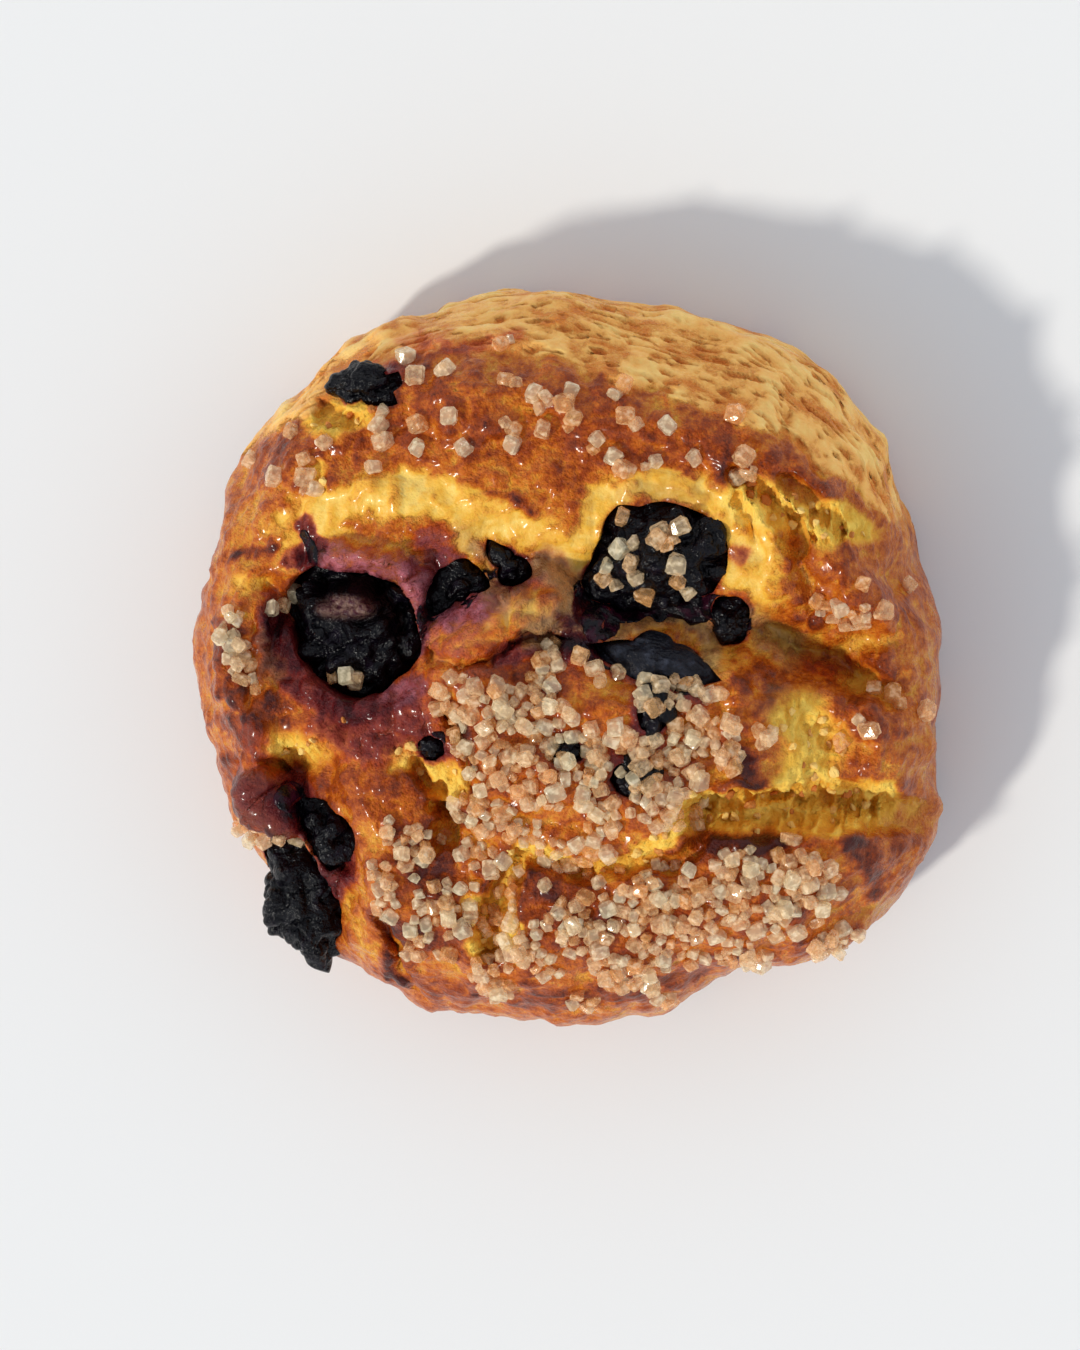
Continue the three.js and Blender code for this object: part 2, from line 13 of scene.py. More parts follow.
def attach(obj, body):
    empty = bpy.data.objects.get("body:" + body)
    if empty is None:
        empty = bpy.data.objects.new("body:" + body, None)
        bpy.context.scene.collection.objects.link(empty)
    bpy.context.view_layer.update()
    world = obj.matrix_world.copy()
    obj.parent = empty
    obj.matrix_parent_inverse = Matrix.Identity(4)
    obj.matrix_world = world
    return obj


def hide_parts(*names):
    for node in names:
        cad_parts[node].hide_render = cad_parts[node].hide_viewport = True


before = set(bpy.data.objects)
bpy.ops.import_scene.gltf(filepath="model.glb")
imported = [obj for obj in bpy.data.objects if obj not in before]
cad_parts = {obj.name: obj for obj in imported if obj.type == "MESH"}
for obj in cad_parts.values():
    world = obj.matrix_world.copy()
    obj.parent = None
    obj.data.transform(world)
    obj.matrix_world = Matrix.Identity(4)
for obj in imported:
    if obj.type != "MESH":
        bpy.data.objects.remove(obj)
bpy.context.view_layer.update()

bl_info = {
    "name": "Fruit scone",
    "version": (1, 0, 0),
    "blender": (4, 5, 0),
    "location": "3D View > Sidebar > Scone",
    "description": "Builds a baked fruit scone with sugar, berries and juice",
    "category": "Add Mesh",
}

MM = 0.001

# ------------------------------------------------------------------ form of the dough, in mm
MEAN_RADIUS = 44.7
WIDEST_LEVEL = 7.0
CROWN_RISE = 25.5
TUCK_DEPTH = 16.0
SQUARENESS = 0.74
CENTRING = np.array((0.6, -0.15, 0.0))  # from the plan's own origin to the middle of the whole
# Waves of the outline: how many, how far they swing, and their direction in degrees.
OUTLINE_WAVES = ((2, 0.96, -39), (3, 0.39, -98), (4, 1.03, -150), (5, 0.85, -167), (8, 0.3, 54))
TRAY_ANGLE = pi / 2 + np.arcsin((WIDEST_LEVEL / TUCK_DEPTH) ** (1 / SQUARENESS))

# Angles down from the crown between which the relief of the top and its details fade out,
# and between which the swell of the side sets in and ends.
TOP_FADE = (radians(52), radians(86))
DETAIL_FADE = (radians(60), radians(84))
SIDE_START = (radians(45), radians(75))
SIDE_END = (radians(104), radians(118))
# Noise that moves the paths' edges: size, swing, seeds for x and y.
BROAD_WANDER = ((5, 1.0, 11, 13), (2, 0.5, 12, 14))
RAGGED_WANDER = ((2.4, 0.6, 15, 16), (0.9, 0.4, 17, 18))

# Paths that several strokes follow. A stroke is a row of its name, its half-width in mm, how much
# it adds, and its path on the plan.
COLLAR = ((-25, 13), (-21, 12.5), (-17.5, 11.5), (-15.5, 10), (-14.5, 7.5))
STRIP = ((7.5, 4.6), (10, 5.8), (14.5, 5.6), (18, 4), (20, 1.6))

# Strokes of swellings (+) and hollows (-) of the top, with their rise.
FOLDS = (
    ("back ridge", 5, 2.6,
     ((-32.5, 25), (-26, 29.5), (-15.5, 32), (-1.5, 32), (11, 29.5), (21, 27), (31.5, 21))),
    ("left rim", 3.4, 3.2, ((-36.5, 10), (-38, 3.5), (-37.5, -3.5), (-34.5, -8.5))),
    ("left knob", 3.2, 3.6, ((-35, -13.5), (-32, -17.5))),
    ("middle lump", 3.6, 3.8, ((-11.5, 2), (-5, 7), (-1, 9.5))),
    ("middle mound", 4.2, 2.4, ((-6.5, -2), (1.5, -3), (10, -4.5))),
    ("sugared mound", 4.6, 2.6, ((-7.5, -8.5), (0.5, -12), (10, -14.5), (19, -14.5))),
    ("right mound", 4.6, 2.4, ((20, -1.5), (22, -7.5))),
    ("right lobe", 4.8, 2.6, ((33, 13.5), (37.5, 7.5), (38.5, -0.5), (38, -8))),
    ("front ridge", 5.4, 2.6, ((-18, -29), (-5, -31.5), (10, -29.5), (23.5, -26), (34, -21.5))),
    ("left front mound", 5, 2.2, ((-21, -14), (-18, -22))),
    ("stained swelling", 3.4, 1.8, ((-24.5, -6.5), (-16.5, -4))),
    ("collar of the burst berry", 1.6, 2.6, ((-25.5, 12.5), (-20.5, 13.5), (-16, 10), (-15, 5))),
    ("berry valley", 4.4, -5,
     ((-29.5, 6.5), (-20.5, 7), (-12, 9.5), (-4, 12), (5, 9.5), (14.5, 6.5), (23.5, 4), (34, 1.5))),
    ("burst berry's pit", 8.8, -4, ((-23.5, 4.5),)),
    ("round berry's pit", 7.6, -2.5, ((11.5, 12.5),)),
    ("flat berry's dip", 4, -2, ((10, 3), (15.5, 1))),
    ("crumb dip", 4, -2, ((32, -8),)),
    ("right groove", 1.6, -3, ((24, 4), (31.5, 1.5), (39.5, -2.5))),
    ("side crevice", 2.2, -3.6, ((-30, -12), (-27, -18.5), (-25, -24), (-26.5, -29.5))),
    ("left crumb patch", 1.8, -1.6, ((-30, -9.5), (-26.5, -10.5))),
)
# Strokes of splits with steep sides, with their depth.
SPLITS = (
    ("front split", 2.5, 5.5, ((17, -16), (26, -15), (34, -15.5), (40, -18))),
    ("left split", 1.1, 3, ((-15, -11), (-12.5, -15), (-12.5, -19))),
    ("deep hole", 1.6, 3.6, ((-5, -22.5), (-7.5, -26.5), (-6.5, -31.5))),
    ("pale seam", 1.2, 2, ((-4, -20.5), (3, -23), (11, -21.5), (17, -19))),
    ("torn back, inner", 1.1, 2.4, ((21.5, 23.5), (27, 18), (28, 15))),
    ("torn back, outer", 1, 2.2, ((27, 22.5), (32.5, 17))),
    ("fold seam", 0.7, 1.8, ((-12, -3), (-10, -7.5), (-9, -13.5))),
    ("front seam", 0.8, 1.8, ((-20, -29), (-18.5, -33.5), (-18, -38.5))),
    ("left back split", 1.4, 2.4, ((-27.5, 30.5), (-23.5, 29.5))),
)
# Bulges (+) and notches (-) of the side: degrees round, level, half-sizes round and up, rise.
BULGES = (
    (-20, 14, 2.4, 4, 1.8),
    (1, 14, 5, 12, 0.8),
    (16, 16, 3, 14, -1.6),
    (-60, 12, 5, 14, -1.8),
    (-75, 9, 4, 9, 1.3),
    (-112, 8, 4, 8, 0.9),
    (165, 14, 4, 12, -1),
)
# Where the browned crust ends on the back: degrees round, and its distance from the plan's origin.
CRUST_EDGE = ((0, 60), (12, 48), (18, 44), (28, 40.6), (43, 37.6), (57, 35.2), (77, 33.9), (99, 37.5),
              (115, 40.5), (135, 42.0), (150, 48), (165, 60))

# Strokes of crisp lips on the skin, with their rise.
RIMS = (
    ("lip of the front split", 0.8, 1,
     ((17, -13.5), (21.5, -12), (25, -12), (30.5, -13.5), (36, -14), (39, -13))),
    ("collar", 1.15, 2.1, ((-25.5, 13.5), (-22, 13.5), (-19, 13), (-16, 11), (-15, 8.5), (-14.5, 6.5))),
    ("torn rib, left", 0.6, 0.9, ((23, 20.5), (25.5, 16.5))),
    ("torn rib, right", 0.6, 0.9, ((27, 20), (29, 17))),
    ("torn bits", 0.8, 1.2, ((31.5, 21.5), (30, 19.5), (32.5, 18))),
    ("skin over the back berry", 0.9, 0.6, ((-25.5, 35), (-18, 34.5), (-11.5, 37.5))),
    ("right of the burst pit", 0.8, 0.7, ((-15, 6), (-15, 3), (-17.5, -0.5))),
    ("edge of the left rim", 0.8, 0.9, ((-34, 8), (-34.5, 3.5), (-34, -1), (-33, -4))),
    ("shred above the hole", 0.6, 1, ((-14, -14), (-13, -14), (-12, -14.5))),
    ("strip over the flat berry", 1.0, 0.9, (*STRIP, (18.5, 0))),
    ("teeth of the lip", 0.5, 0.9, ((19.5, -12.6), (19.3, -15.5))),
    ("second tooth", 0.45, 0.8, ((23.2, -12), (23.6, -14.6))),
    ("third tooth", 0.6, 1.0, ((27.2, -12.4), (27, -15.8))),
    ("fourth tooth", 0.45, 0.8, ((31.5, -13.4), (32.2, -16))),
    ("fifth tooth", 0.55, 0.9, ((35.5, -14), (35.2, -16.6))),
    ("front fold", 0.8, 0.6, ((-18, -29), (-17, -34), (-19, -41))),
)
# Strokes of lumps that swell out of the skin on all sides, with their rise.
LUMPS = (
    ("left knob", 2.9, 1.9, ((-34.5, -15), (-32, -16))),
    ("lumps of the left rim", 1.5, 0.7, ((-38.5, 5), (-39, 1.5), (-38, -3))),
)
# Strokes of narrow creases in the skin, with their depth.
CREASES = (
    ("round the left knob", 1.0, 2.4, ((-33.5, -11), (-32, -13.5), (-30, -17.5), (-31.5, -19.5))),
    ("above the left knob", 0.7, 0.9, ((-39.5, -13), (-37, -11.5), (-33.5, -11))),
    ("front of the middle lump", 0.8, 2.0, ((-13.5, 2.5), (-10.5, 1.5), (-6.5, 3), (-3, 4.5), (1, 3.5))),
    ("left of the middle lump", 0.8, 1.7, ((-14.5, 4), (-13.5, 7), (-11, 9))),
    ("between the lumps", 0.5, 0.5, ((-5.5, 11), (-4, 8), (-5.5, 4.5))),
    ("right groove", 0.7, 1.2, ((21.5, 5.5), (27, 3), (31.5, 2))),
    ("under the lip", 0.8, 1.6, ((17.5, -15), (21, -14.5), (24.5, -14), (30.5, -15), (36, -16))),
    ("torn hollow, left", 0.7, 1.1, ((21.5, 20), (23, 16.5))),
    ("torn hollow, middle", 0.7, 1.1, ((25.5, 20.5), (27.5, 16.5))),
    ("torn hollow, right", 0.6, 1, ((28.5, 18.5), (30, 16))),
    ("crumb hole", 1, 2.4, ((-13, -15.5),)),
    ("behind the dark ridge", 0.6, 0.6, ((24.5, 28), (28, 26.5), (31, 23))),
    ("behind the right lobe", 0.7, 0.7, ((28, 13.5), (29, 8.5), (28, 5.5))),
    ("side of the sugared mound", 0.6, 0.7, ((-13.5, -1.5), (-10.5, -3), (-10, -7))),
    ("front left fold", 0.7, 0.8, ((-20, -30.5), (-19, -35), (-20.5, -41))),
)
# Strokes of set juice and berry skin, with their thickness.
JUICE = (
    ("under the round berry", 1.5, 0.7,
     ((2.5, 10.5), (5.5, 8), (9.5, 7.6), (12.5, 7.6), (16.5, 7.2), (20.5, 6.8))),
    ("left of the flat berry", 1.6, 0.7, ((4, 8), (5.5, 6), (6.5, 4))),
    ("under the flat berry", 1.2, 0.6, ((3.5, 4), (9, 1.2), (13.5, -0.5), (17, -1))),
    ("wedge of the gap berry", 1.6, 0.7, ((-12.8, 9), (-10.6, 9.6), (-8.4, 10.4))),
    ("tail", 1.1, 0.6, ((13.5, -0.5), (12, -2.5), (11.5, -5.5))),
    ("crevice", 1.2, 0.6, ((-32, -13.5), (-30, -15.5), (-29, -17))),
    ("left of the corner berry", 1.3, 0.6, ((18.5, 7.2), (20.5, 6.8), (21.5, 4))),
    ("above the burst berry", 0.8, 0.35, ((-29.5, 16.3), (-28.6, 15), (-28, 13.6), (-27.6, 12))),
    ("speck", 0.8, 0.5, ((-13, -6.2), (-12.5, -8))),
    ("between the round and the corner berry", 1.1, 0.7,
     ((15.5, 7.8), (17.5, 7.8), (19.6, 8), (21, 7.6))),
    ("between the gap berries", 0.8, 0.5, ((-9.5, 10.4), (-7.8, 11.2), (-6, 11.8))),
    ("bridge to the burst berry", 1.0, 0.5, ((-12.5, 9), (-14, 7.5), (-15, 6.5), (-15.5, 4.5))),
)

# ------------------------------------------------------------------ paint of the dough, in mm
# Strokes of paint, with their strength. First where the dough stayed pale.
PALE = (
    ("band behind the valley, left", 2.6, 0.55,
     ((-27.5, 17.5), (-24, 20), (-17.5, 21), (-11.5, 20), (-8, 18.5))),
    ("band behind the valley", 2.4, 0.5, ((-11.5, 19.5), (-3.5, 16.5), (1, 15), (4, 13))),
    ("behind the round berry", 1.8, 0.6,
     ((4, 15), (5.5, 20), (10, 22), (15.5, 21.5), (19.5, 18.5), (21, 11.5))),
    ("right of the round berry", 2.8, 0.5, ((21.5, 18), (23.5, 14), (24.5, 10))),
    ("right groove", 1.6, 0.15, ((22.5, 6), (27, 3.5), (33.5, 3))),
    ("left shoulder", 2.6, 0.18, ((-36, 17), (-35.5, 11))),
    ("left of the burst berry", 1.9, 0.4, ((-31.5, 17), (-31, 13))),
    ("between the gap berries", 0.9, 0.45, ((-11, 18), (-9.5, 13), (-8, 9.5))),
    ("strip over the flat berry", 1.2, 0.42, (*STRIP, (18.5, 0))),
    ("left foot", 2.4, 0.25, ((-25.5, -28), (-22.5, -32))),
    ("collar", 1.8, 0.42, COLLAR),
    ("tan lump", 2.6, 0.32, ((-5.5, 8), (-0.5, 6.5))),
    ("middle lump, left", 3, 0.2, ((-12, 3.5), (-8, 6))),
)
# Where it tore and shows its crumb.
TORN = (
    ("torn back", 2.6, 0.5, ((22, 20.5), (27, 19), (31.5, 17))),
    ("torn flakes", 1.6, 0.45, ((31.5, 18), (35, 16.5))),
    ("right crumb patch", 3.3, 0.5, ((28, -4.5), (30.5, -8), (28.5, -12))),
    ("lip of the front split", 1.4, 0.55, ((17, -14), (23.5, -14), (30.5, -13), (37.5, -13.5))),
    ("front split", 2.0, 0.5, ((15.5, -15.5), (23.5, -16.5), (31.5, -16.5), (37.5, -15.5))),
    ("left crumb patch", 2.1, 0.5, ((-32, -8.5), (-27.5, -9.5), (-25, -6.5))),
    ("under the back edge berry", 1.9, 0.45, ((-28.5, 29.5), (-25, 29), (-22.5, 30))),
    ("small left hole", 0.9, 0.4, ((-28, 24), (-26.5, 21.5))),
    ("pale seam, upright", 1.2, 0.55,
     ((-3.5, -20), (-4.5, -23), (-5.5, -25.5), (-4.5, -29.5), (-5, -31))),
    ("pale seam, level", 1.1, 0.5,
     ((-1.5, -19.5), (2.5, -22), (6.5, -22), (10, -21), (13, -18), (15, -15.5))),
    ("deep hole", 1.7, 0.5, ((-9, -27), (-7.5, -27), (-8, -32))),
    ("left split", 2, 0.5, ((-17, -9), (-14, -10), (-11.5, -12.5))),
)
# Where it browned more.
BROWN = (
    ("back ridge", 3.1, 0.13,
     ((-30, 26.5), (-20, 28.5), (-11.5, 28), (-3.5, 27), (5.5, 26), (14.5, 24.5), (23.5, 23.5),
     (29, 21))),
    ("back ridge, rear", 2.6, 0.08,
     ((-17.5, 37), (-12, 33), (-4, 33.5), (5.5, 31.5), (14.5, 28), (26, 25))),
    ("left rim", 2.4, 0.3, ((-38.5, 3.5), (-37, -3.5), (-33, -5))),
    ("left knob", 3.1, 0.3, ((-38, -13.5), (-33, -17.5))),
    ("under the left rim", 1.6, 0.2, ((-39, -6.5), (-34, -9.5))),
    ("left front mound", 3.5, 0.13, ((-26, -12.5), (-17.5, -14), (-14, -22.5))),
    ("front ridge", 5, 0.12, ((-12, -25), (1, -29), (14, -28), (28, -23))),
    ("sugared mound", 4, 0.1, ((-6, -6), (4, -10), (14, -10))),
    ("under the front split", 1.9, 0.2, ((16, -20), (25, -19))),
    ("middle mound", 2.6, 0.2, ((-6.5, 2), (1.5, 0))),
    ("right mound", 2.2, 0.16, ((23.5, -0.5), (28, -1.5))),
    ("right mound, front", 2.4, 0.25, ((21, -9),)),
    ("right lobe", 2.6, 0.03, ((31.5, 12), (36, 12))),
    ("right foot", 1.4, 0.3, ((35, -20), (37.5, -25.5))),
    ("front foot", 1.6, 0.2, ((-19.5, -38), (-4.5, -39), (9.5, -37.5), (21.5, -33.5))),
    ("left shoulder", 2.4, 0.1, ((-33.5, 26.5), (-36, 22))),
    ("front seam", 0.7, 0.3, ((-20, -29), (-20, -39.5))),
    ("fold seam", 0.8, 0.35, ((-11, -2.5), (-9, -8.5), (-8.5, -13))),
    ("baked drop", 0.8, 0.3, ((-4.5, 20), (-3, 18.5))),
    ("scorched flecks", 0.7, 0.5, ((-38, 13.5), (-33, 14.5))),
    ("dark patch on the front ridge", 2.2, 0.1, ((-2.5, -24.5), (2, -26), (6, -28.5))),
    ("under the split, left", 1.5, 0.25, ((17, -19), (24.5, -19))),
    ("front end of the sugared mound", 1.3, 0.38, ((22, -9.5), (23, -12))),
    ("over the left foot", 1.6, 0.12, ((-18, -20.5), (-14, -23))),
    ("front left", 2, 0.25, ((-18, -30), (-12, -31.5))),
)
# Where thin juice turned it rosy.
BLUSH = (
    ("collar", 2.1, 1, COLLAR),
    ("wine, right", 1.6, 0.6, ((-18, -2), (-15.5, -1))),
    ("left of the middle lump", 1.2, 0.5, ((-13.5, 5), (-13, 7))),
    ("above the gap berries", 1.5, 0.35, ((-14, 15), (-12.5, 13))),
    ("middle lump, top", 1.5, 0.35, ((-8.5, 8.5), (-5.5, 7.5))),
    ("between the lumps", 1.5, 0.3, ((-11, 0), (-7.5, 1))),
    ("reddish part of the middle lump", 2, 0.7, ((-11.5, 6.5), (-8.5, 8))),
    ("front of the middle lump", 1.8, 0.5, ((-13, 3), (-10, 4.5))),
)
# Where thin juice turned it olive or grey-brown.
DRAB = (
    ("strip over the flat berry", 1.1, 0.9,
     ((7.5, 4), (8, 5.5), (12, 6.5), (16.5, 5.5), (18.5, 3.5), (18.5, 1.5))),
    ("right end of the middle lump", 1.7, 0.8, ((-1.5, 13), (2, 11), (2.5, 8.5), (0.5, 5), (-1.5, 4.5))),
    ("between lump and flat berry", 1.3, 0.6, ((3.5, 6.5), (3.5, 5))),
    ("right of the corner berry", 1.9, 0.75, ((23, 6.5), (25, 4), (27, 3))),
    ("between the gap berries", 0.9, 0.6, ((-9, 14.5), (-7.5, 13), (-7, 11))),
    ("behind the round berry", 1.3, 0.4, ((7.5, 21), (11.5, 21), (17, 20.5))),
    ("tan part of the lump", 2.2, 0.55, ((-6, 9.5), (-3.5, 8.5), (-1.5, 7))),
    ("above the burst berry", 1.5, 0.5, ((-10.5, 16.5), (-9.5, 15))),
    ("left of the burst pit", 1.5, 0.4, ((-33.5, 3.5), (-33, 0))),
    ("under the right mound", 1.5, 0.3, ((25.5, -1.5), (25, -4))),
)
# Where juice soaked in, from red to black, and a few strokes of painted shade where shadow falls in
# creases and on a pit wall.
STAIN_AND_SHADE = (
    ("collar", 2.2, 0.4, COLLAR),
    ("inside the collar", 1.2, 0.5, ((-26, 11), (-22, 11), (-20, 9.5), (-18.5, 7.5))),
    ("maroon ring", 1.8, 0.58,
     ((-32.5, 4.5), (-31.5, 0.5), (-28, -2.5), (-24, -4), (-19.5, -3), (-15.5, -1))),
    ("wine", 3.2, 0.46, ((-25.5, -6), (-20.5, -7), (-15.5, -5.5))),
    # Painted shadow: the left rim's shadow on the wall of the burst berry's pit.
    ("pit wall", 1.4, 0.35, ((-33, 8), (-34, 4), (-33, 1))),
    ("purple above", 1.2, 0.7, ((-29.5, 13), (-27.5, 11), (-25.5, 10))),
    ("gap berries", 2.0, 0.5, ((-14.5, 12), (-12, 7.5), (-6, 9), (-2.5, 12))),
    ("middle lump", 3.4, 0.14, ((-12, 3.5), (-8, 6))),
    ("round berry", 1.2, 0.6, ((4, 9.5), (5.5, 7.5), (11, 7.5), (20, 7), (22, 7.5))),
    ("flat berry", 1.2, 0.45, ((2.5, 4), (8, 0.6), (17, -2))),
    ("tail berry", 1.9, 0.6, ((11.5, -2.5), (11.5, -7))),
    ("left of the round berry", 1.0, 0.35, ((2.5, 6.5), (3.5, 11))),
    # Painted shade in the shadowed valley of the right groove.
    ("right groove", 1.1, 0.22, ((29, 1.5), (33, 0.5))),
    ("side crevice", 2.2, 0.7, ((-31, -14), (-28, -17.5), (-25.5, -23.5), (-28.5, -27.5))),
    ("speck", 1.4, 0.7, ((-12.5, -8),)),
    ("strip over the flat berry", 1.3, 0.12, STRIP),
    ("upper left of the burst berry", 1.2, 0.7, ((-29, 16.5), (-27, 13))),
    ("bruise over the gap berries", 1.9, 0.4, ((-14.5, 15.5), (-12, 13))),
    ("right of the round berry", 1.2, 0.35, ((21, 14),)),
    ("low sugar berry", 1.4, 0.5, ((10.5, -10.5), (8, -9))),
    ("middle sugar berry", 1.5, 0.5, ((2.5, -7.5),)),
    ("back edge berry", 1.1, 0.6, ((-25, 34), (-18.5, 34.5))),
    ("left knob", 2.6, 0.42, ((-36, -13.5), (-34, -15.5), (-31.5, -16.5))),
    ("foot of the left rim", 1.6, 0.25, ((-35, -7.5), (-34, -10))),
    ("fold under the middle lump", 0.8, 0.3, ((-5.5, 3.5), (-3, 4.5), (0, 4), (3, 3))),
    ("left of the lump", 0.8, 0.4, ((-14.5, 4.5), (-14, 6.5), (-12.5, 8))),
    ("between collar and lump", 0.8, 0.6, ((-12.5, 8.5), (-14, 7), (-14.5, 5.5), (-15, 3))),
    ("under the middle lump", 0.7, 0.45, ((-4.5, 4), (-2, 4.5), (0.5, 4), (4, 3.5))),
    ("from the lump to the flat berry", 0.9, 0.5, ((1.5, 4), (4.5, 4), (6, 2.5))),
    ("left corner of the round berry", 0.9, 0.6, ((3, 9.5), (4, 7), (5, 5.5))),
    ("below the right gap berry", 0.6, 0.4, ((-7.5, 11), (-5.5, 10), (-3.5, 10.5))),
    ("outside the collar, left", 1, 0.5, ((-31, 13), (-29.5, 14), (-28, 13.5))),
    # Painted shadow on the left wall of the burst berry's pit.
    ("left wall of the pit", 1, 0.45, ((-33, 6), (-32, 3), (-30.5, 0.5))),
    ("jelly beside the round berry", 1.7, 0.26, ((-1, 13), (2, 11), (2.5, 8), (1, 5.5))),
    ("jelly, lower part", 1.6, 0.5, ((1, 6.5), (4.5, 6))),
    # Painted shadow line under the middle lump.
    ("line under the lump", 1.0, 0.6, ((-6, 2.5), (-2, 2.5), (2, 2.6), (4.5, 2))),
    ("smear on the back wall", 0.9, 0.3, ((-19, 38.5), (-10.5, 37.5), (-5, 38.5))),
)

# ------------------------------------------------------------------ berries and sugar, in mm
# Node, place on the plan, height of the middle above the skin, half-sizes, turn in degrees, dents.
BERRIES = (
    ("berry_burst", (-23, 4.2), -1.1, (7.8, 7.4, 4.8), (0, -8, 20), 1.1),
    ("berry_round", (11.8, 13.6), -1.6, (7.7, 5.7, 5.4), (0, 0, 8), 0.6),
    ("berry_gap_left", (-11, 9.8), -0.8, (3, 2.2, 2.4), (0, 0, 25), 0.4),
    ("berry_gap_right", (-5.4, 12.6), -0.7, (1.8, 2.6, 2.2), (0, 0, 25), 0.3),
    ("berry_flat", (11.6, 2.6), -0.3, (6.2, 2.9, 1.7), (-32, 0, -16), 0.3),
    ("berry_corner", (20.2, 6.2), -0.6, (2, 2.8, 2.2), (0, 0, 0), 0.3),
    ("berry_back_edge", (-22.4, 32.6), -0.6, (3.9, 2, 2.3), (-25, 0, -8), 0.3),
    ("berry_crevice", (-27.2, -19.2), -0.4, (3, 3.7, 2.8), (0, 0, 28), 0.5),
    ("berry_hanging", (-31.2, -28.6), -1.6, (4.2, 7.3, 4.2), (18, 0, 14), 1.2),
    ("berry_sugar_low", (9.4, -11.2), -0.5, (2.3, 1.9, 1.8), (0, 0, 10), 0.3),
    ("berry_sugar_middle", (2, -8.2), -0.5, (2.1, 1.3, 1.6), (0, 0, 0), 0.3),
    ("berry_tail", (12, -3.6), -0.5, (1.8, 2.5, 1.8), (0, 0, -10), 0.3),
    ("berry_speck", (-13.6, -8.2), -0.4, (1.5, 1.3, 1.4), (0, 0, 0), 0.2),
)
SOCKET_SLACK = 0.08  # between a berry and the dough
SOCKET_RISE = 9.0  # how far the cutting shapes reach up
STREAKED = {"berry_flat": 4.0, "berry_hanging": 1.6}  # how much longer these berries' wrinkles are
# The outlines of the berries from above, on the plan.
OUTLINES = {
    "berry_burst": ((-29.75, 11), (-27.75, 12.25), (-25, 11.75), (-21.5, 11), (-18.75, 9.75),
        (-16.5, 8), (-15.5, 5.25), (-15.25, 2.5), (-18, -0.5), (-20.5, -2.75), (-23.5, -2.75),
        (-27.25, -1.25), (-29.5, 1.25), (-31, 5.75), (-31.5, 8.75)),
    "berry_round": ((3, 10.5), (4.25, 13), (5.5, 15.75), (6, 17.5), (7.5, 19.5), (10, 19.25),
        (12.5, 19.75), (15.75, 19), (18.25, 17.75), (19.5, 15.25), (19.5, 12.25), (18.25, 9.5),
        (15.25, 8.75), (11.25, 8.25), (7.25, 8.25), (4.5, 8.5)),
    "berry_gap_left": ((-14.25, 6.75), (-14, 10.25), (-12.5, 12.25), (-9.75, 13), (-8.5, 11.75),
        (-7.5, 10), (-9.75, 9.25), (-11.5, 8.25), (-13, 7)),
    "berry_gap_right": ((-7.5, 15.25), (-6, 14.75), (-4.5, 13.5), (-2.5, 11.5), (-3.5, 10.75),
        (-6, 10.5), (-6.25, 12.25)),
    "berry_flat": ((4.5, 3.75), (6.75, 4), (9.25, 4), (10.25, 5), (12.25, 5), (14, 3.75),
        (16.75, 1.75), (19, 0), (17, -0.75), (12.5, 0), (7.75, 1), (5.5, 2.25)),
    "berry_corner": ((18.5, 8.5), (21.5, 8.75), (21.75, 5.75), (21.25, 3.75), (19.25, 3.5), (18.5, 5.75)),
    "berry_back_edge": ((-26.75, 32.75), (-25.25, 34), (-24.25, 34.5), (-21.75, 34.75), (-19.75, 34),
        (-18.5, 34.5), (-17.75, 33.25), (-18.75, 32.25), (-18.25, 31), (-20.75, 30.75), (-22.5, 31.5),
        (-24.5, 31.5), (-26.25, 32)),
    "berry_crevice": ((-30.5, -15.5), (-27.5, -15), (-25.25, -16.5), (-23.25, -18), (-23.25, -20.25),
        (-25, -22.75), (-26.75, -23.5), (-28, -21.75), (-29.25, -19.25), (-30, -17.25)),
    "berry_hanging": ((-34.5, -20.25), (-29.75, -19.5), (-28.5, -21.25), (-27.75, -23.5),
        (-27, -26.75), (-26, -28.25), (-25.75, -30.75), (-27.25, -32.75), (-28.25, -35),
        (-28.75, -36.75), (-30.75, -36), (-31, -34.75), (-32.75, -34), (-33.75, -32), (-35.5, -29.75),
        (-35.5, -27.5), (-35, -24.25), (-35.75, -22.5)),
}
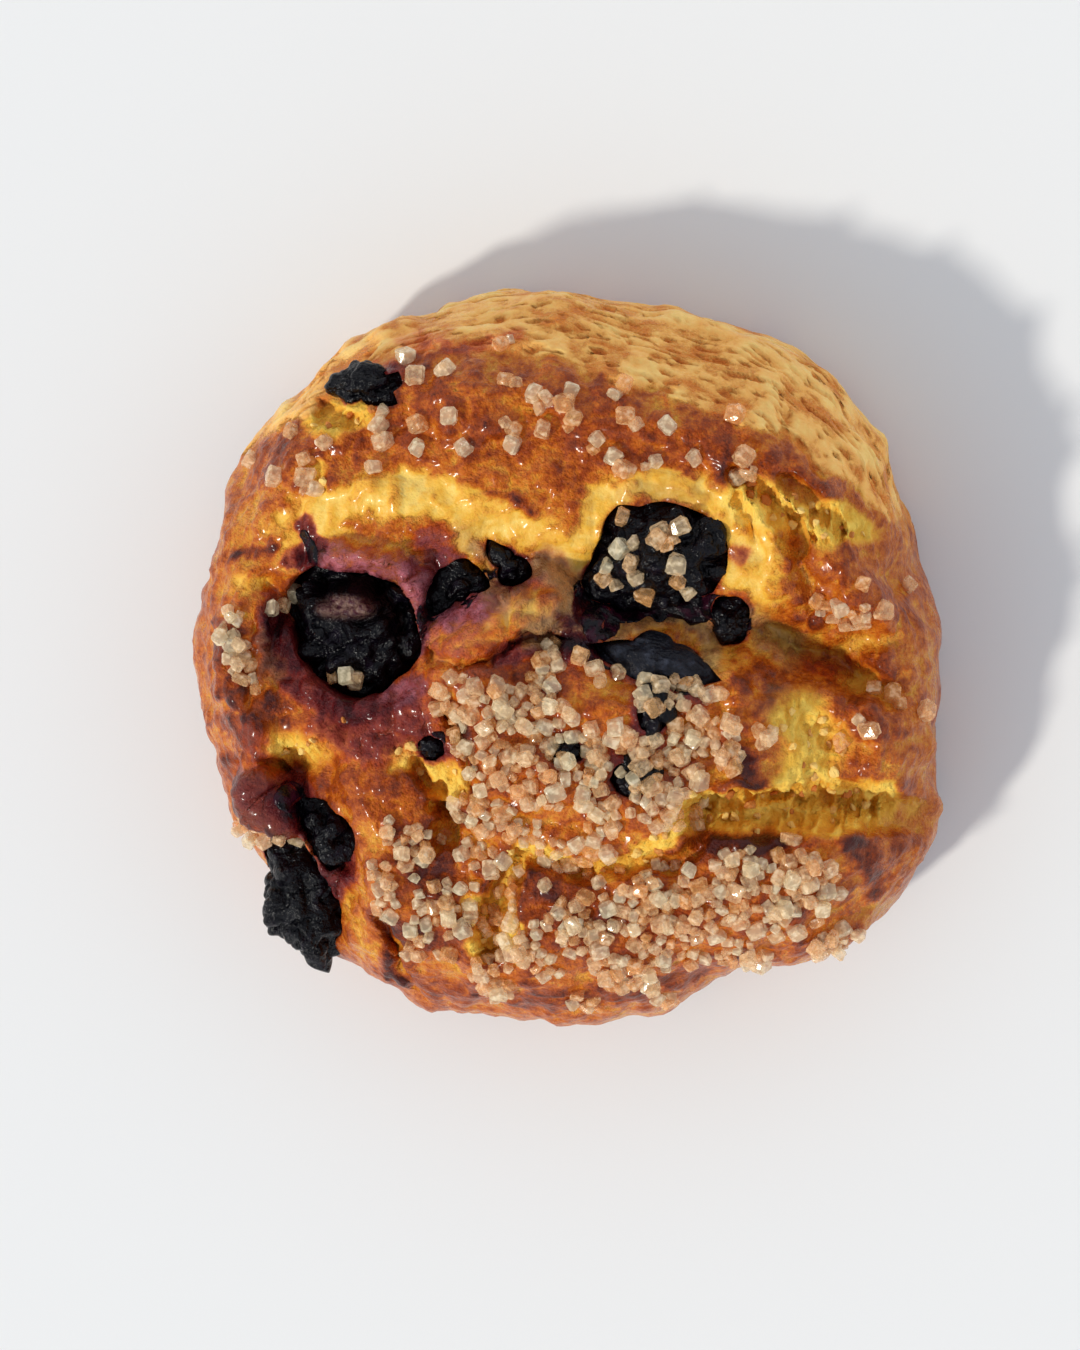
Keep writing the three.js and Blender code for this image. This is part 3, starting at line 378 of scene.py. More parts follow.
# Strokes of sugar, with how full they are.
SUGAR_FIELDS = (
    ("middle, left", 2.8, 1, ((-11, -2.5), (-7, -3), (-3, -3.5), (1, -5))),
    ("middle, front", 2.9, 1, ((-8.5, -7.5), (-5.5, -10), (-0.5, -11.5), (3, -11.5))),
    ("middle, rear", 1.5, 0.8, ((-1.5, -2), (0, 1.5), (0.5, 3))),
    ("right of the middle berry", 1.7, 1, ((5, -7.5), (6, -10.5))),
    ("round the low berry", 1.6, 1, ((8.5, -6.5), (11.5, -8))),
    ("right part of the middle", 2.3, 0.9, ((15.5, -7), (15.5, -12))),
    ("right end of the middle", 1.6, 1, ((20, -5), (20.5, -9))),
    ("by the crumb patch", 1, 1, ((23.5, -6.5), (25, -6))),
    ("tail", 1.6, 0.8, ((11.5, -1.5), (16, -1.5))),
    ("above the front split", 2.2, 0.9, ((5, -13), (6.5, -16))),
    ("left of the front split", 2.3, 0.8, ((11, -14), (15.5, -15.5))),
    ("left of the dip", 2, 0.9, ((-9.5, -15), (-5, -16.5))),
    ("over the hole", 1.6, 0.8, ((-9.5, -20), (-7, -21.5))),
    ("over the seam", 1.9, 0.8, ((-2.5, -18), (1, -20.5), (5.5, -19))),
    ("left front", 1.8, 1, ((-17.5, -18), (-14.5, -20))),
    ("left foot, rear", 1.4, 0.9, ((-19.5, -22), (-19, -27))),
    ("left foot", 1.3, 0.8, ((-14.5, -25), (-16.5, -32.5))),
    ("left of the hole", 1.7, 0.9, ((-12, -25.5), (-10, -29))),
    ("front, left", 1.9, 1, ((-3.5, -31), (-1, -33.5))),
    ("front, middle rear", 1.7, 0.9, ((1, -28), (4.5, -30.5))),
    ("front, middle", 2, 1, ((5.5, -33.5), (9.5, -35.5))),
    ("front, top", 2.7, 0.9, ((9.5, -25.5), (16, -27.5))),
    ("front, low", 1.9, 0.7, ((10.5, -31.5), (15.5, -33))),
    ("front right, rear", 2.3, 1, ((20, -21.5), (24, -23.5))),
    ("front right, middle", 2, 0.9, ((20, -26.5), (23.5, -27.5), (27, -26))),
    ("front right, end", 2.5, 1, ((27, -20.5), (31, -24.5))),
    ("front right, low", 1.9, 0.9, ((20.5, -31.5), (23.5, -34))),
    ("right front foot", 1.5, 0.9, ((30, -32), (34, -31))),
    ("left front foot", 1.7, 0.9, ((-8.5, -34.5), (-6.5, -37.5))),
    ("front edge", 1.1, 1, ((2, -38.5), (4.5, -39))),
    ("front edge, right", 0.9, 1, ((11, -39), (12.5, -39.5))),
    ("left rim", 1.4, 1.0, ((-37.5, 6), (-37, 2), (-35.5, -2))),
    ("left knob", 1.1, 1.0, ((-39.5, -19.5), (-32, -20))),
    ("right lobe", 1.5, 0.8, ((31, 8.5), (33.5, 6.5), (36.5, 7.5))),
    ("between the front fields", 7, 0.07, ((-14, -26), (0, -29), (16, -28), (28, -24))),
    ("between the middle fields", 4.5, 0.08, ((-8, -6), (4, -9), (16, -9))),
)
# Crystals that lie on their own, on the plan.
LONE_SUGAR = (
    (-17.5, 36), (-16, 34), (-12.5, 34.5), (-5.5, 33.5), (-2, 32), (-0.5, 31.5), (1.5, 31), (-4.5, 28),
    (-4.5, 26.5), (-1, 28), (2.5, 29.5), (8, 33), (8.5, 29.5), (13, 28.5), (5, 27), (7, 25),
    (8.5, 23.5),
    (11.5, 24.5), (16, 25), (21.5, 25), (20.5, 22.5), (22.5, 23.5), (20.5, 29.5), (-20, 28.5),
    (-19.5, 26.5),
    (-15.5, 28.5), (-11.5, 29.5), (-15.5, 26), (-10, 26), (-20.5, 23.5), (-31, 27.5), (-26.5, 26.5),
    (-29, 24.5), (-29, 22.5), (-32.5, 22.5), (-27.5, 21), (-37, 24), (-6.5, 37.5), (35, 10.5),
    (40, 9.5),
    (41.5, 6), (36.5, -2), (38.5, -2.5), (42, -4.5), (36, -6), (33, -7.5),
)
# Crystals that stick to the berries and the juice, on the plan.
STUCK_SUGAR = (
    (8, 18), (12.5, 16.5), (14.5, 17), (13, 15), (8, 14.5), (9, 13), (9.5, 11.5), (10.5, 9.5),
    (6.5, 12.5),
    (6, 11), (14, 13), (14.5, 11), (15.5, 10), (12, 15.5), (-24.5, -0.5), (-23.5, -1), (5, 1),
    (3.5, 2.5),
    (7.5, 0.5), (12.5, -1), (12, -3), (16.5, -1.5), (18, -2), (15.5, -3), (17, -4), (20.5, -5),
    (10.5, -10),
    (12, -9.5), (6, -9), (4.5, -8), (-33.5, 7), (-32.5, 7.5), (-31.5, 8.5),
)


# ------------------------------------------------------------------ small mathematics
def smooth(low, high, v):
    """0 below low, 1 above high and an even curve between."""
    t = np.clip((v - low) / (high - low), 0, 1)
    return t * t * (3 - 2 * t)


def lattice(ix, iy, iz, seed):
    """A repeatable number from 0 to 1 for each whole-numbered point of space."""
    h = (ix * 374761393 + iy * 668265263 + iz * 1440662683 + seed * 974634777) & 0xFFFFFFFF
    h = ((h ^ (h >> 13)) * 1274126177) & 0xFFFFFFFF
    return (h ^ (h >> 16)) / 4294967296


def in_units(x, y, z, size):
    """Coordinates in units of a size, or of one size for each axis."""
    place = np.stack(np.broadcast_arrays(x, y, z), 0).astype(float)
    return place / np.reshape(size, (-1,) + (1,) * (place.ndim - 1))


def unit_noise(p, seed):
    """Smooth noise from -1 to 1, one feature for each unit of length."""
    low = np.floor(p)
    f = p - low
    ease = f * f * f * (f * (f * 6 - 15) + 10)
    ix, iy, iz = low.astype(np.int64)

    def along_x(j, k):
        a = lattice(ix, iy + j, iz + k, seed)
        return a + (lattice(ix + 1, iy + j, iz + k, seed) - a) * ease[0]

    def along_y(k):
        a = along_x(0, k)
        return a + (along_x(1, k) - a) * ease[1]

    front, back = along_y(0), along_y(1)
    return (front + (back - front) * ease[2]) * 2 - 1


def noise(x, y, z, size, seed):
    """Smooth noise from -1 to 1 whose features have this size."""
    return unit_noise(in_units(x, y, z, size), seed)


def in_layers(p, seed, layers, shift, form=lambda v: v):
    """Noise in layers, each about twice as fine and half as high as the one before."""
    total, weight = 0, 0
    for layer in range(layers):
        finer, gain = 2.03**layer, 0.5**layer
        total = total + gain * form(unit_noise(p * finer + shift * layer, seed + layer))
        weight += gain
    return total / weight


def layered(x, y, z, size, seed, layers):
    """Layered noise from -1 to 1."""
    return in_layers(in_units(x, y, z, size), seed, layers, 17.3)


def ridged(x, y, z, size, seed, layers):
    """Layered noise with sharp crests at 1 that falls to 0, for wrinkles and torn crumb."""
    return in_layers(in_units(x, y, z, size), seed, layers, 31.7, lambda v: (1 - np.abs(v)) ** 2)


def distance_to_path(x, y, path):
    """Distance on the plan to the nearest point of a path."""
    path = np.array(path, float)
    nearest = np.hypot(x - path[0, 0], y - path[0, 1])
    for a, b in zip(path[:-1], path[1:]):
        leg = b - a
        s = np.clip(((x - a[0]) * leg[0] + (y - a[1]) * leg[1]) / (leg @ leg), 0, 1)
        nearest = np.minimum(nearest, np.hypot(x - a[0] - s * leg[0], y - a[1] - s * leg[1]))
    return nearest


# ------------------------------------------------------------------ skin of the dough
def outline_radius(around):
    """The outline's distance from the middle, seen from above."""
    radius = MEAN_RADIUS
    for count, swing, degrees in OUTLINE_WAVES:
        radius = radius + swing * np.cos(count * around - radians(degrees))
    return radius


def section(down):
    """Share of the outline radius, and height, at an angle down from the crown."""
    rise = np.abs(np.cos(down)) ** SQUARENESS
    height = WIDEST_LEVEL + np.where(down < pi / 2, CROWN_RISE, -TUCK_DEPTH) * rise
    return np.sin(down) ** SQUARENESS, height


def wander(x, y, waves):
    """The plan's coordinates, moved a little, so that no path has an even edge."""
    sx, sy = x, y
    for size, swing, seed_x, seed_y in waves:
        sx = sx + swing * noise(x, y, 0, size, seed_x)
        sy = sy + swing * noise(x, y, 0, size, seed_y)
    return sx, sy


def rounded(x, y, strokes, power=2):
    """Sum of strokes that fall off like hills: the higher the power, the flatter their tops."""
    total = 0 * x
    for _, half, amount, path in strokes:
        total = total + amount * np.exp(-((distance_to_path(x, y, path) / half) ** power))
    return total


def level_topped(x, y, strokes, inner, outer):
    """Sum of strokes that are full up to the inner share of their half-width and end at the outer."""
    total = 0 * x
    for _, half, amount, path in strokes:
        total = total + amount * (1 - smooth(inner, outer, distance_to_path(x, y, path) / half))
    return total


def relief(x, y):
    """Height that the folds and splits add to the top."""
    place = wander(x, y, BROAD_WANDER)
    return rounded(*place, FOLDS) - level_topped(*place, SPLITS, 0.55, 1.3)


def details(x, y):
    """Height that crisp lips and narrow creases add to the skin."""
    place = wander(x, y, RAGGED_WANDER)
    return rounded(*place, RIMS) - level_topped(*place, CREASES, 0.3, 1.4)


def lumps(x, y):
    """How far lumps swell out of the skin."""
    return rounded(*wander(x, y, RAGGED_WANDER), LUMPS, 4)


def bulge_at(around, level):
    """How far the bulges and notches move the side out."""
    out = 0
    for degrees, height, half_round, half_up, rise in BULGES:
        turn = np.abs(around - radians(degrees)) % (2 * pi)
        away = np.minimum(turn, 2 * pi - turn) * MEAN_RADIUS / half_round
        out = out + rise * np.exp(-away * away - ((level - height) / half_up) ** 2)
    return out


def skin(around, down):
    """Points of the skin, from the angle around the scone and the angle down from the crown."""
    share, z = section(down)
    radius = outline_radius(around) * share
    x, y = radius * np.cos(around), radius * np.sin(around)
    top = 1 - smooth(*TOP_FADE, down)
    side = smooth(*SIDE_START, down) * (1 - smooth(*SIDE_END, down))
    hills = 1.5 * layered(x, y, z, 9, 3, 3) + 0.7 * layered(x, y, z, 3.2, 5, 2)
    z = z + top * (relief(x, y) + hills)
    swell = 1.4 * layered(x, y, z, 11, 21, 2) + 0.9 * layered(x, y, z, (4.2, 4.2, 11), 23, 2)
    out = side * (swell + bulge_at(around, z))
    return np.stack((x + out * np.cos(around), y + out * np.sin(around), np.maximum(z, 0)), -1)


def skin_above(x, y):
    """The skin's points and outward normals above places on the plan."""
    x, y = np.asarray(x, float), np.asarray(y, float)
    around = np.arctan2(y, x)
    share = np.minimum(0.985, np.hypot(x, y) / outline_radius(around))
    step = 0.02
    down = np.maximum(step, np.arcsin(share ** (1 / SQUARENESS)))
    along_down = skin(around, down + step) - skin(around, down - step)
    along_around = skin(around + step, down) - skin(around - step, down)
    normal = np.cross(along_down, along_around)
    return skin(around, down), normal / np.linalg.norm(normal, axis=-1, keepdims=True)


# ------------------------------------------------------------------ meshes and objects
def grid_ball(cuts):
    """A closed ball of even quads: unit directions and faces."""
    bm = bmesh.new()
    bmesh.ops.create_cube(bm, size=2)
    bmesh.ops.subdivide_edges(bm, edges=bm.edges[:], cuts=cuts - 1, use_grid_fill=True)
    cube = np.tan(np.array([v.co for v in bm.verts]) * pi / 4)
    faces = [[v.index for v in f.verts] for f in bm.faces]
    bm.free()
    return cube / np.linalg.norm(cube, axis=1, keepdims=True), faces


def ico_ball(levels):
    """A closed ball of even triangles: unit directions and faces."""
    bm = bmesh.new()
    bmesh.ops.create_icosphere(bm, subdivisions=levels, radius=1)
    directions = np.array([v.co for v in bm.verts])
    faces = [[v.index for v in f.verts] for f in bm.faces]
    bm.free()
    return directions, faces


def linked(name, data):
    """An object with this data, in the scene."""
    obj = bpy.data.objects.new(name, data)
    bpy.context.collection.objects.link(obj)
    return obj


def new_object(name, points, faces=()):
    """An object of points on the plan's axes, in mm, moved to the part's own origin."""
    mesh = bpy.data.meshes.new(name)
    mesh.from_pydata(((np.asarray(points) + CENTRING) * MM).tolist(), [], list(faces))
    mesh.update()
    return linked(name, mesh)


def points_of(mesh):
    """A mesh's points in mm on the plan's axes."""
    flat = np.empty(len(mesh.vertices) * 3)
    mesh.vertices.foreach_get("co", flat)
    return flat.reshape(-1, 3) / MM - CENTRING


def set_points(mesh, points):
    """Moves a mesh's points to places in mm on the plan's axes."""
    mesh.vertices.foreach_set("co", ((points + CENTRING) * MM).ravel())
    mesh.update()


def normals_of(mesh):
    """The outward normal at each point."""
    flat = np.empty(len(mesh.vertices) * 3, np.float32)
    mesh.vertex_normals.foreach_get("vector", flat)
    return flat.reshape(-1, 3).astype(float)


def paint(mesh, name, values):
    """Stores a value for each point, for the material to read."""
    layer = mesh.attributes.new(name, "FLOAT", "POINT")
    layer.data.foreach_set("value", np.asarray(values, np.float32))


def shade_smooth(obj):
    """Rounds the look of an object's faces."""
    obj.data.polygons.foreach_set("use_smooth", [True] * len(obj.data.polygons))
    obj.data.update()


def place(obj, slot, *nodes):
    """Gives a finished piece its body and hides the solids that it stands for; the slot is not used."""
    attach(obj, "root")
    if nodes:
        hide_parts(*nodes)


def leave_result(obj, modifier):
    """Leaves the result of a modifier as the object's plain mesh."""
    made = obj.evaluated_get(bpy.context.evaluated_depsgraph_get())
    mesh = bpy.data.meshes.new_from_object(made)
    obj.modifiers.remove(modifier)
    old = obj.data
    obj.data = mesh
    bpy.data.meshes.remove(old)


def mesh_from_nodes(obj, tree, values):
    """Runs a geometry tree on an object and leaves its result as a plain mesh."""
    modifier = obj.modifiers.new("nodes", "NODES")
    modifier.node_group = tree
    for item in tree.interface.items_tree:
        if item.in_out == "INPUT" and item.name in values:
            modifier[item.identifier] = values[item.name]
    leave_result(obj, modifier)


# ------------------------------------------------------------------ node trees
class Wire:
    """A socket of a node tree, so that sums can be written as Python expressions."""

    def __init__(self, tree, socket):
        self.tree = tree
        self.socket = socket

    def sum_with(self, operation, *values):
        return self.tree.add("ShaderNodeMath", {"operation": operation}, *values)

    def __add__(self, other):
        return self.sum_with("ADD", self, other)

    def __radd__(self, other):
        return self.sum_with("ADD", other, self)

    def __sub__(self, other):
        return self.sum_with("SUBTRACT", self, other)

    def __rsub__(self, other):
        return self.sum_with("SUBTRACT", other, self)

    def __mul__(self, other):
        return self.sum_with("MULTIPLY", self, other)

    def __rmul__(self, other):
        return self.sum_with("MULTIPLY", other, self)


class Tree:
    """Adds nodes to a material's or a geometry tree and links them."""

    def __init__(self, nodes, links):
        self.nodes = nodes
        self.links = links

    def add(self, kind, settings, *values, output=0, **named):
        """One node: its settings first, then its inputs in order or by name."""
        node = self.nodes.new(kind)
        for name, value in settings.items():
            if name == "stops":
                self.set_stops(node, value)
            else:
                setattr(node, name, value)
        for index, value in enumerate(values):
            self.feed(node.inputs[index], value)
        for name, value in named.items():
            self.feed(node.inputs[name.replace("_", " ")], value)
        return Wire(self, node.outputs[output])

    def set_stops(self, node, stops):
        """Stops of a colour ramp, as places and sRGB colours."""
        ramp = node.color_ramp
        while len(ramp.elements) < len(stops):
            ramp.elements.new(1)
        for element, (position, colour) in zip(ramp.elements, stops):
            element.position = position
            element.color = colour_of(colour)

    def feed(self, socket, value):
        """Links a wire to a socket, or sets the socket to a constant."""
        if isinstance(value, Wire):
            self.links.new(value.socket, socket)
        elif value is not None:
            socket.default_value = value


def colour_of(srgb):
    """A scene-linear colour from sRGB values of 0 to 255."""
    channels = [c / 255 for c in srgb]
    linear = [c / 12.92 if c <= 0.04045 else ((c + 0.055) / 1.055) ** 2.4 for c in channels]
    return (*linear, 1.0)


class Finish(Tree):
    """A material in the making: one shader, with coordinates fixed to the piece."""

    def __init__(self, name):
        self.material = bpy.data.materials.new(name)
        self.material.use_nodes = True
        super().__init__(self.material.node_tree.nodes, self.material.node_tree.links)
        self.shader = self.nodes["Principled BSDF"]
        self.place = self.add("ShaderNodeTexCoord", {}, output="Object")

    def painted(self, name):
        """A value that was stored on the mesh."""
        return self.add("ShaderNodeAttribute", {"attribute_name": name}, output="Fac")

    def speckle(self, size_mm, detail, roughness=0.5):
        """Noise from 0 to 1 whose features have about this size."""
        scale = 1 / (size_mm * MM)
        where = {"Vector": self.place, "Scale": scale, "Detail": detail, "Roughness": roughness}
        return self.add("ShaderNodeTexNoise", {"noise_dimensions": "3D"}, **where)

    def cells(self, size_mm):
        """Distance to the nearest of scattered points, in cells of about this size."""
        scale = 1 / (size_mm * MM)
        return self.add("ShaderNodeTexVoronoi", {"feature": "F1"}, Vector=self.place, Scale=scale)

    def ramp(self, value, stops):
        """A colour for each value, between stops."""
        return self.add("ShaderNodeValToRGB", {"stops": stops}, value)

    def step(self, value, low, high):
        """0 below low and 1 above high, with an even curve between."""
        settings = {"interpolation_type": "SMOOTHSTEP"}
        return self.add("ShaderNodeMapRange", settings, value, low, high, 0.0, 1.0)

    def mix(self, share, a, b, blend="MIX"):
        """Two colours mixed: b where share is 1."""
        settings = {"data_type": "RGBA", "blend_type": blend, "clamp_factor": True}
        a, b = (value if isinstance(value, Wire) else colour_of(value) for value in (a, b))
        other_types = (None,) * 5
        return self.add("ShaderNodeMix", settings, share, *other_types, a, b, output=2)

    def surface(self, bump=None, bump_mm=0.0, **sockets):
        """Sets the shader's sockets by name, and a bump of this full height."""
        for name, value in sockets.items():
            self.feed(self.shader.inputs[name.replace("_", " ")], value)
        if bump is not None:
            bumps = self.add("ShaderNodeBump", {}, Height=bump, Strength=1.0, Distance=bump_mm * MM)
            self.feed(self.shader.inputs["Normal"], bumps)
        return self.material


# ------------------------------------------------------------------ finishes
# Colours for a tone of 0 to 1, from baking and painted hollow shade: the glazed crust, the torn crumb and
# the plain back.
CRUST_TONES = (
    (0.00, (248, 208, 106)),
    (0.18, (238, 180, 64)),
    (0.36, (226, 148, 46)),
    (0.54, (196, 100, 22)),
    (0.72, (152, 62, 10)),
    (1.00, (74, 22, 12)),
)
CRUMB_TONES = (
    (0.00, (253, 208, 92)),
    (0.25, (242, 184, 66)),
    (0.50, (228, 156, 60)),
    (0.75, (186, 108, 38)),
    (1.00, (96, 48, 20)),
)
BACK_TONES = (
    (0.00, (255, 208, 122)),
    (0.25, (250, 180, 92)),
    (0.45, (234, 142, 62)),
    (0.70, (186, 98, 42)),
    (1.00, (120, 60, 28)),
)
# Colours for an amount of juice of 0 to 1, which also carries painted shade from a few strokes: what it
# multiplies the dough by, and its own.
JUICE_TINTS = (
    (0.00, (255, 255, 255)),
    (0.20, (232, 176, 190)),
    (0.42, (190, 104, 150)),
    (0.62, (134, 50, 80)),
    (0.82, (62, 18, 40)),
    (1.00, (18, 8, 18)),
)
WINE_TONES = (
    (0.15, (176, 100, 62)),
    (0.34, (130, 56, 46)),
    (0.50, (94, 25, 27)),
    (0.66, (64, 11, 18)),
    (0.82, (28, 8, 16)),
    (1.00, (9, 6, 10)),
)


def juiced_and_shaded(f, colour, stain, blotch, mottle):
    """The dough's colour where juice ran into it and where shade is painted in, blushed or dulled at the
    edges.
    """
    blush, drab = f.painted("blush"), f.painted("drab")
    dye_and_shade = stain + (mottle - 0.5) * 0.5 * f.step(stain, 0.02, 0.25)
    bloom = blush * (1 - f.step(dye_and_shade, 0.55, 0.75))
    wine = f.mix(bloom * f.step(mottle, 0.3, 0.65), f.ramp(dye_and_shade, WINE_TONES), (190, 112, 124))
    colour = f.mix(1.0, colour, f.ramp(dye_and_shade, JUICE_TINTS), "MULTIPLY")
    colour = f.mix(f.step(dye_and_shade, 0.12, 0.4) * 0.75, colour, wine)
    rosy = blush * f.step(mottle, 0.3, 0.6) * (1 - f.step(dye_and_shade, 0.25, 0.45))
    colour = f.mix(rosy * 0.5, colour, (186, 112, 92))
    olive = f.mix(f.step(blotch * 0.6 + mottle * 0.4, 0.36, 0.62), (188, 154, 98), (128, 92, 56))
    return f.mix(drab * (0.5 + mottle * 0.6) * (1 - f.step(dye_and_shade, 0.4, 0.7)), colour, olive)


def dough_finish(gloss):
    """Crust under a baked egg glaze, open crumb where it tore, and dough dyed by juice, with painted
    shade in some creases and hollows.
    """
    f = Finish("dough")
    bake, crumb, stain, wall = (f.painted(name) for name in ("bake", "crumb", "stain", "wall"))
    blotch = f.speckle(4.5, 3.0, 0.55)
    mottle = f.speckle(1.3, 4.0, 0.62)
    grain = f.speckle(0.4, 3.0, 0.6)
    patch = f.step(f.speckle(2.4, 4.0, 0.65), 0.43, 0.55) - 0.5
    crust_only = 1 - crumb
    pimples = f.cells(0.8)
    uneven = (blotch - 0.5) * 0.55 + (mottle - 0.5) * 0.5 + (grain - 0.5) * 0.36 + patch * 0.06
    tone = bake + (uneven + (pimples - 0.45) * 0.14) * (0.45 + f.step(bake, 0.1, 0.5) * 0.55)
    crust, open_crumb, back = (f.ramp(tone, stops) for stops in (CRUST_TONES, CRUMB_TONES, BACK_TONES))
    colour = f.mix(wall, f.mix(crumb, crust, open_crumb), back)
    colour = juiced_and_shaded(f, colour, stain, blotch, mottle)
    fine = f.speckle(0.32, 2.0)
    browned = f.step(tone, 0.2, 0.5)
    crust_height = (f.speckle(0.9, 2.0, 0.5) * 0.8 + fine * 0.7) * (0.3 + browned * 0.7)
    crumb_height = f.step(pimples, 0.05, 0.5) * 0.35 + f.speckle(0.6, 3.0, 0.65) * 0.9
    wet = f.step(stain, 0.3, 0.8)
    return f.surface(
        crust_height * crust_only + crumb_height * crumb, 0.5,
        Base_Color=colour,
        Roughness=0.32 + crumb * 0.4 - wet * 0.16 + (blotch - 0.5) * 0.5 * crust_only,
        Coat_Weight=crust_only * (1 - wall) * (1 - wet * 0.4) * gloss,
        Coat_Roughness=0.15,
        Coat_IOR=1.4,
        Subsurface_Weight=0.05,
        Subsurface_Radius=(1.0, 0.4, 0.15),
        Subsurface_Scale=0.0012,
        IOR=1.2,
    )


def berry_finish(name, dark, light, roughness):
    """Cooked berry skin: nearly black and wet, with a bluish bloom left in its folds."""
    f = Finish(name)
    flesh = f.painted("flesh")
    bloom = f.speckle(2.2, 3.0, 0.6)
    grain = f.speckle(0.7, 2.0, 0.6)
    skin_colour = f.mix(f.step(bloom, 0.5, 0.8), dark, light)
    flesh_colour = f.mix(f.step(grain, 0.35, 0.65), (74, 36, 44), (126, 96, 84))
    return f.surface(
        f.speckle(1.3, 2.0, 0.5) + f.speckle(0.45, 2.0, 0.6) * 0.5, 0.6,
        Base_Color=f.mix(flesh, skin_colour, flesh_colour),
        Roughness=roughness + (bloom - 0.5) * 0.24,
        IOR=1.28,
    )


def sugar_finish():
    """Coarse raw sugar: clear blocks with a straw to amber tint."""
    f = Finish("sugar")
    tint = f.painted("tint")
    veil = f.speckle(0.7, 3.0)
    colour = f.mix(tint, (255, 240, 198), (255, 184, 108))
    colour = f.mix(f.step(veil, 0.5, 0.75) * 0.5, colour, (255, 244, 214))
    return f.surface(
        f.speckle(0.6, 2.0), 0.05,
        Base_Color=colour,
        Roughness=0.1 + (veil - 0.5) * 0.2,
        Alpha=0.44 + f.step(veil, 0.42, 0.68) * 0.42,
        Transmission_Weight=0.25,
        IOR=1.5,
    )


def juice_finish():
    """Set berry juice and skins: black with a wine-red tinge where it is thin."""
    f = Finish("juice")
    depth = f.speckle(1.6, 3.0)
    return f.surface(
        f.speckle(1.0, 3.0, 0.6), 0.45,
        Base_Color=f.mix(f.step(depth, 0.45, 0.7), (9, 6, 11), (52, 12, 30)),
        Roughness=0.15 + (depth - 0.5) * 0.2,
        IOR=1.28,
    )


def crumb_finish():
    """Loose crumb and flakes: matt, pale, browned at the tips."""
    f = Finish("crumbs")
    tint = f.painted("tint")
    grain = f.speckle(0.4, 2.0)
    colour = f.mix(f.step(tint + (grain - 0.5) * 0.5, 0.35, 0.9), (244, 204, 112), (198, 118, 44))
    return f.surface(grain, 0.15, Base_Color=colour, Roughness=0.7)


# ------------------------------------------------------------------ dough
def spread_over_skin(directions):
    """Angles around and down for the directions of a ball, more of them on the crown.

    The third value draws the underside's points in towards its middle.
    """
    underside, favour, steps = 0.02, 1.6, 600
    angles = np.linspace(0, TRAY_ANGLE, steps + 1)
    share, height = section(angles)
    slant = np.hypot(np.diff(share) * MEAN_RADIUS, np.diff(height))
    on_top = (height[1:] + height[:-1]) / 2 > WIDEST_LEVEL + CROWN_RISE * 0.4
    ring = (share[1:] + share[:-1]) / 2 * slant * np.where(on_top, 1 + favour, 1)
    area = np.append(0, np.cumsum(ring))
    part = (1 - directions[:, 2]) / 2
    down = np.interp(part / (1 - underside), area / area[-1], angles)
    inward = np.sqrt(np.clip((1 - part) / underside, 0, 1))
    inward = np.where(part > 1 - underside, inward, 1)
    return np.arctan2(directions[:, 1], directions[:, 0]), down, inward


def painted_on(x, y, strokes):
    """Paint of several strokes with ragged edges."""
    return level_topped(*wander(x, y, RAGGED_WANDER), strokes, 0.4, 1.35)


def back_wall(x, y, z):
    """1 where the plain back of open crumb lies, beyond the edge of the browned crust."""
    side = smooth(21, 13, z)
    sway = 11 * layered(x, y, z, (11, 11, 7), 45, 3) + 4 * noise(x, y, z, (1.6, 1.6, 1.2), 46)
    degrees = np.degrees(np.arctan2(y, x)) + side * sway
    edge = np.interp(degrees % 360, *zip(*CRUST_EDGE), right=60)
    rag = 0.8 * noise(x, y, 0, 3, 41) + 0.5 * noise(x, y, 0, 1.1, 42)
    return smooth(-0.5 - 2.5 * side, 0.5 + 2.5 * side, np.hypot(x, y) - edge + rag)


def near_berry(points):
    """Distance in mm from the skin of the nearest berry."""
    nearest = np.full(len(points), np.inf)
    for berry in BERRIES:
        local = points - berry_middle(berry)
        local[:, :2] /= outline_share(berry, *local[:, :2].T)[:, None]
        local = turned_back(local, berry[4])
        share = np.linalg.norm(local / berry[3], axis=1)
        nearest = np.minimum(nearest, np.linalg.norm(local, axis=1) * (1 - 1 / np.maximum(share, 0.01)))
    return nearest


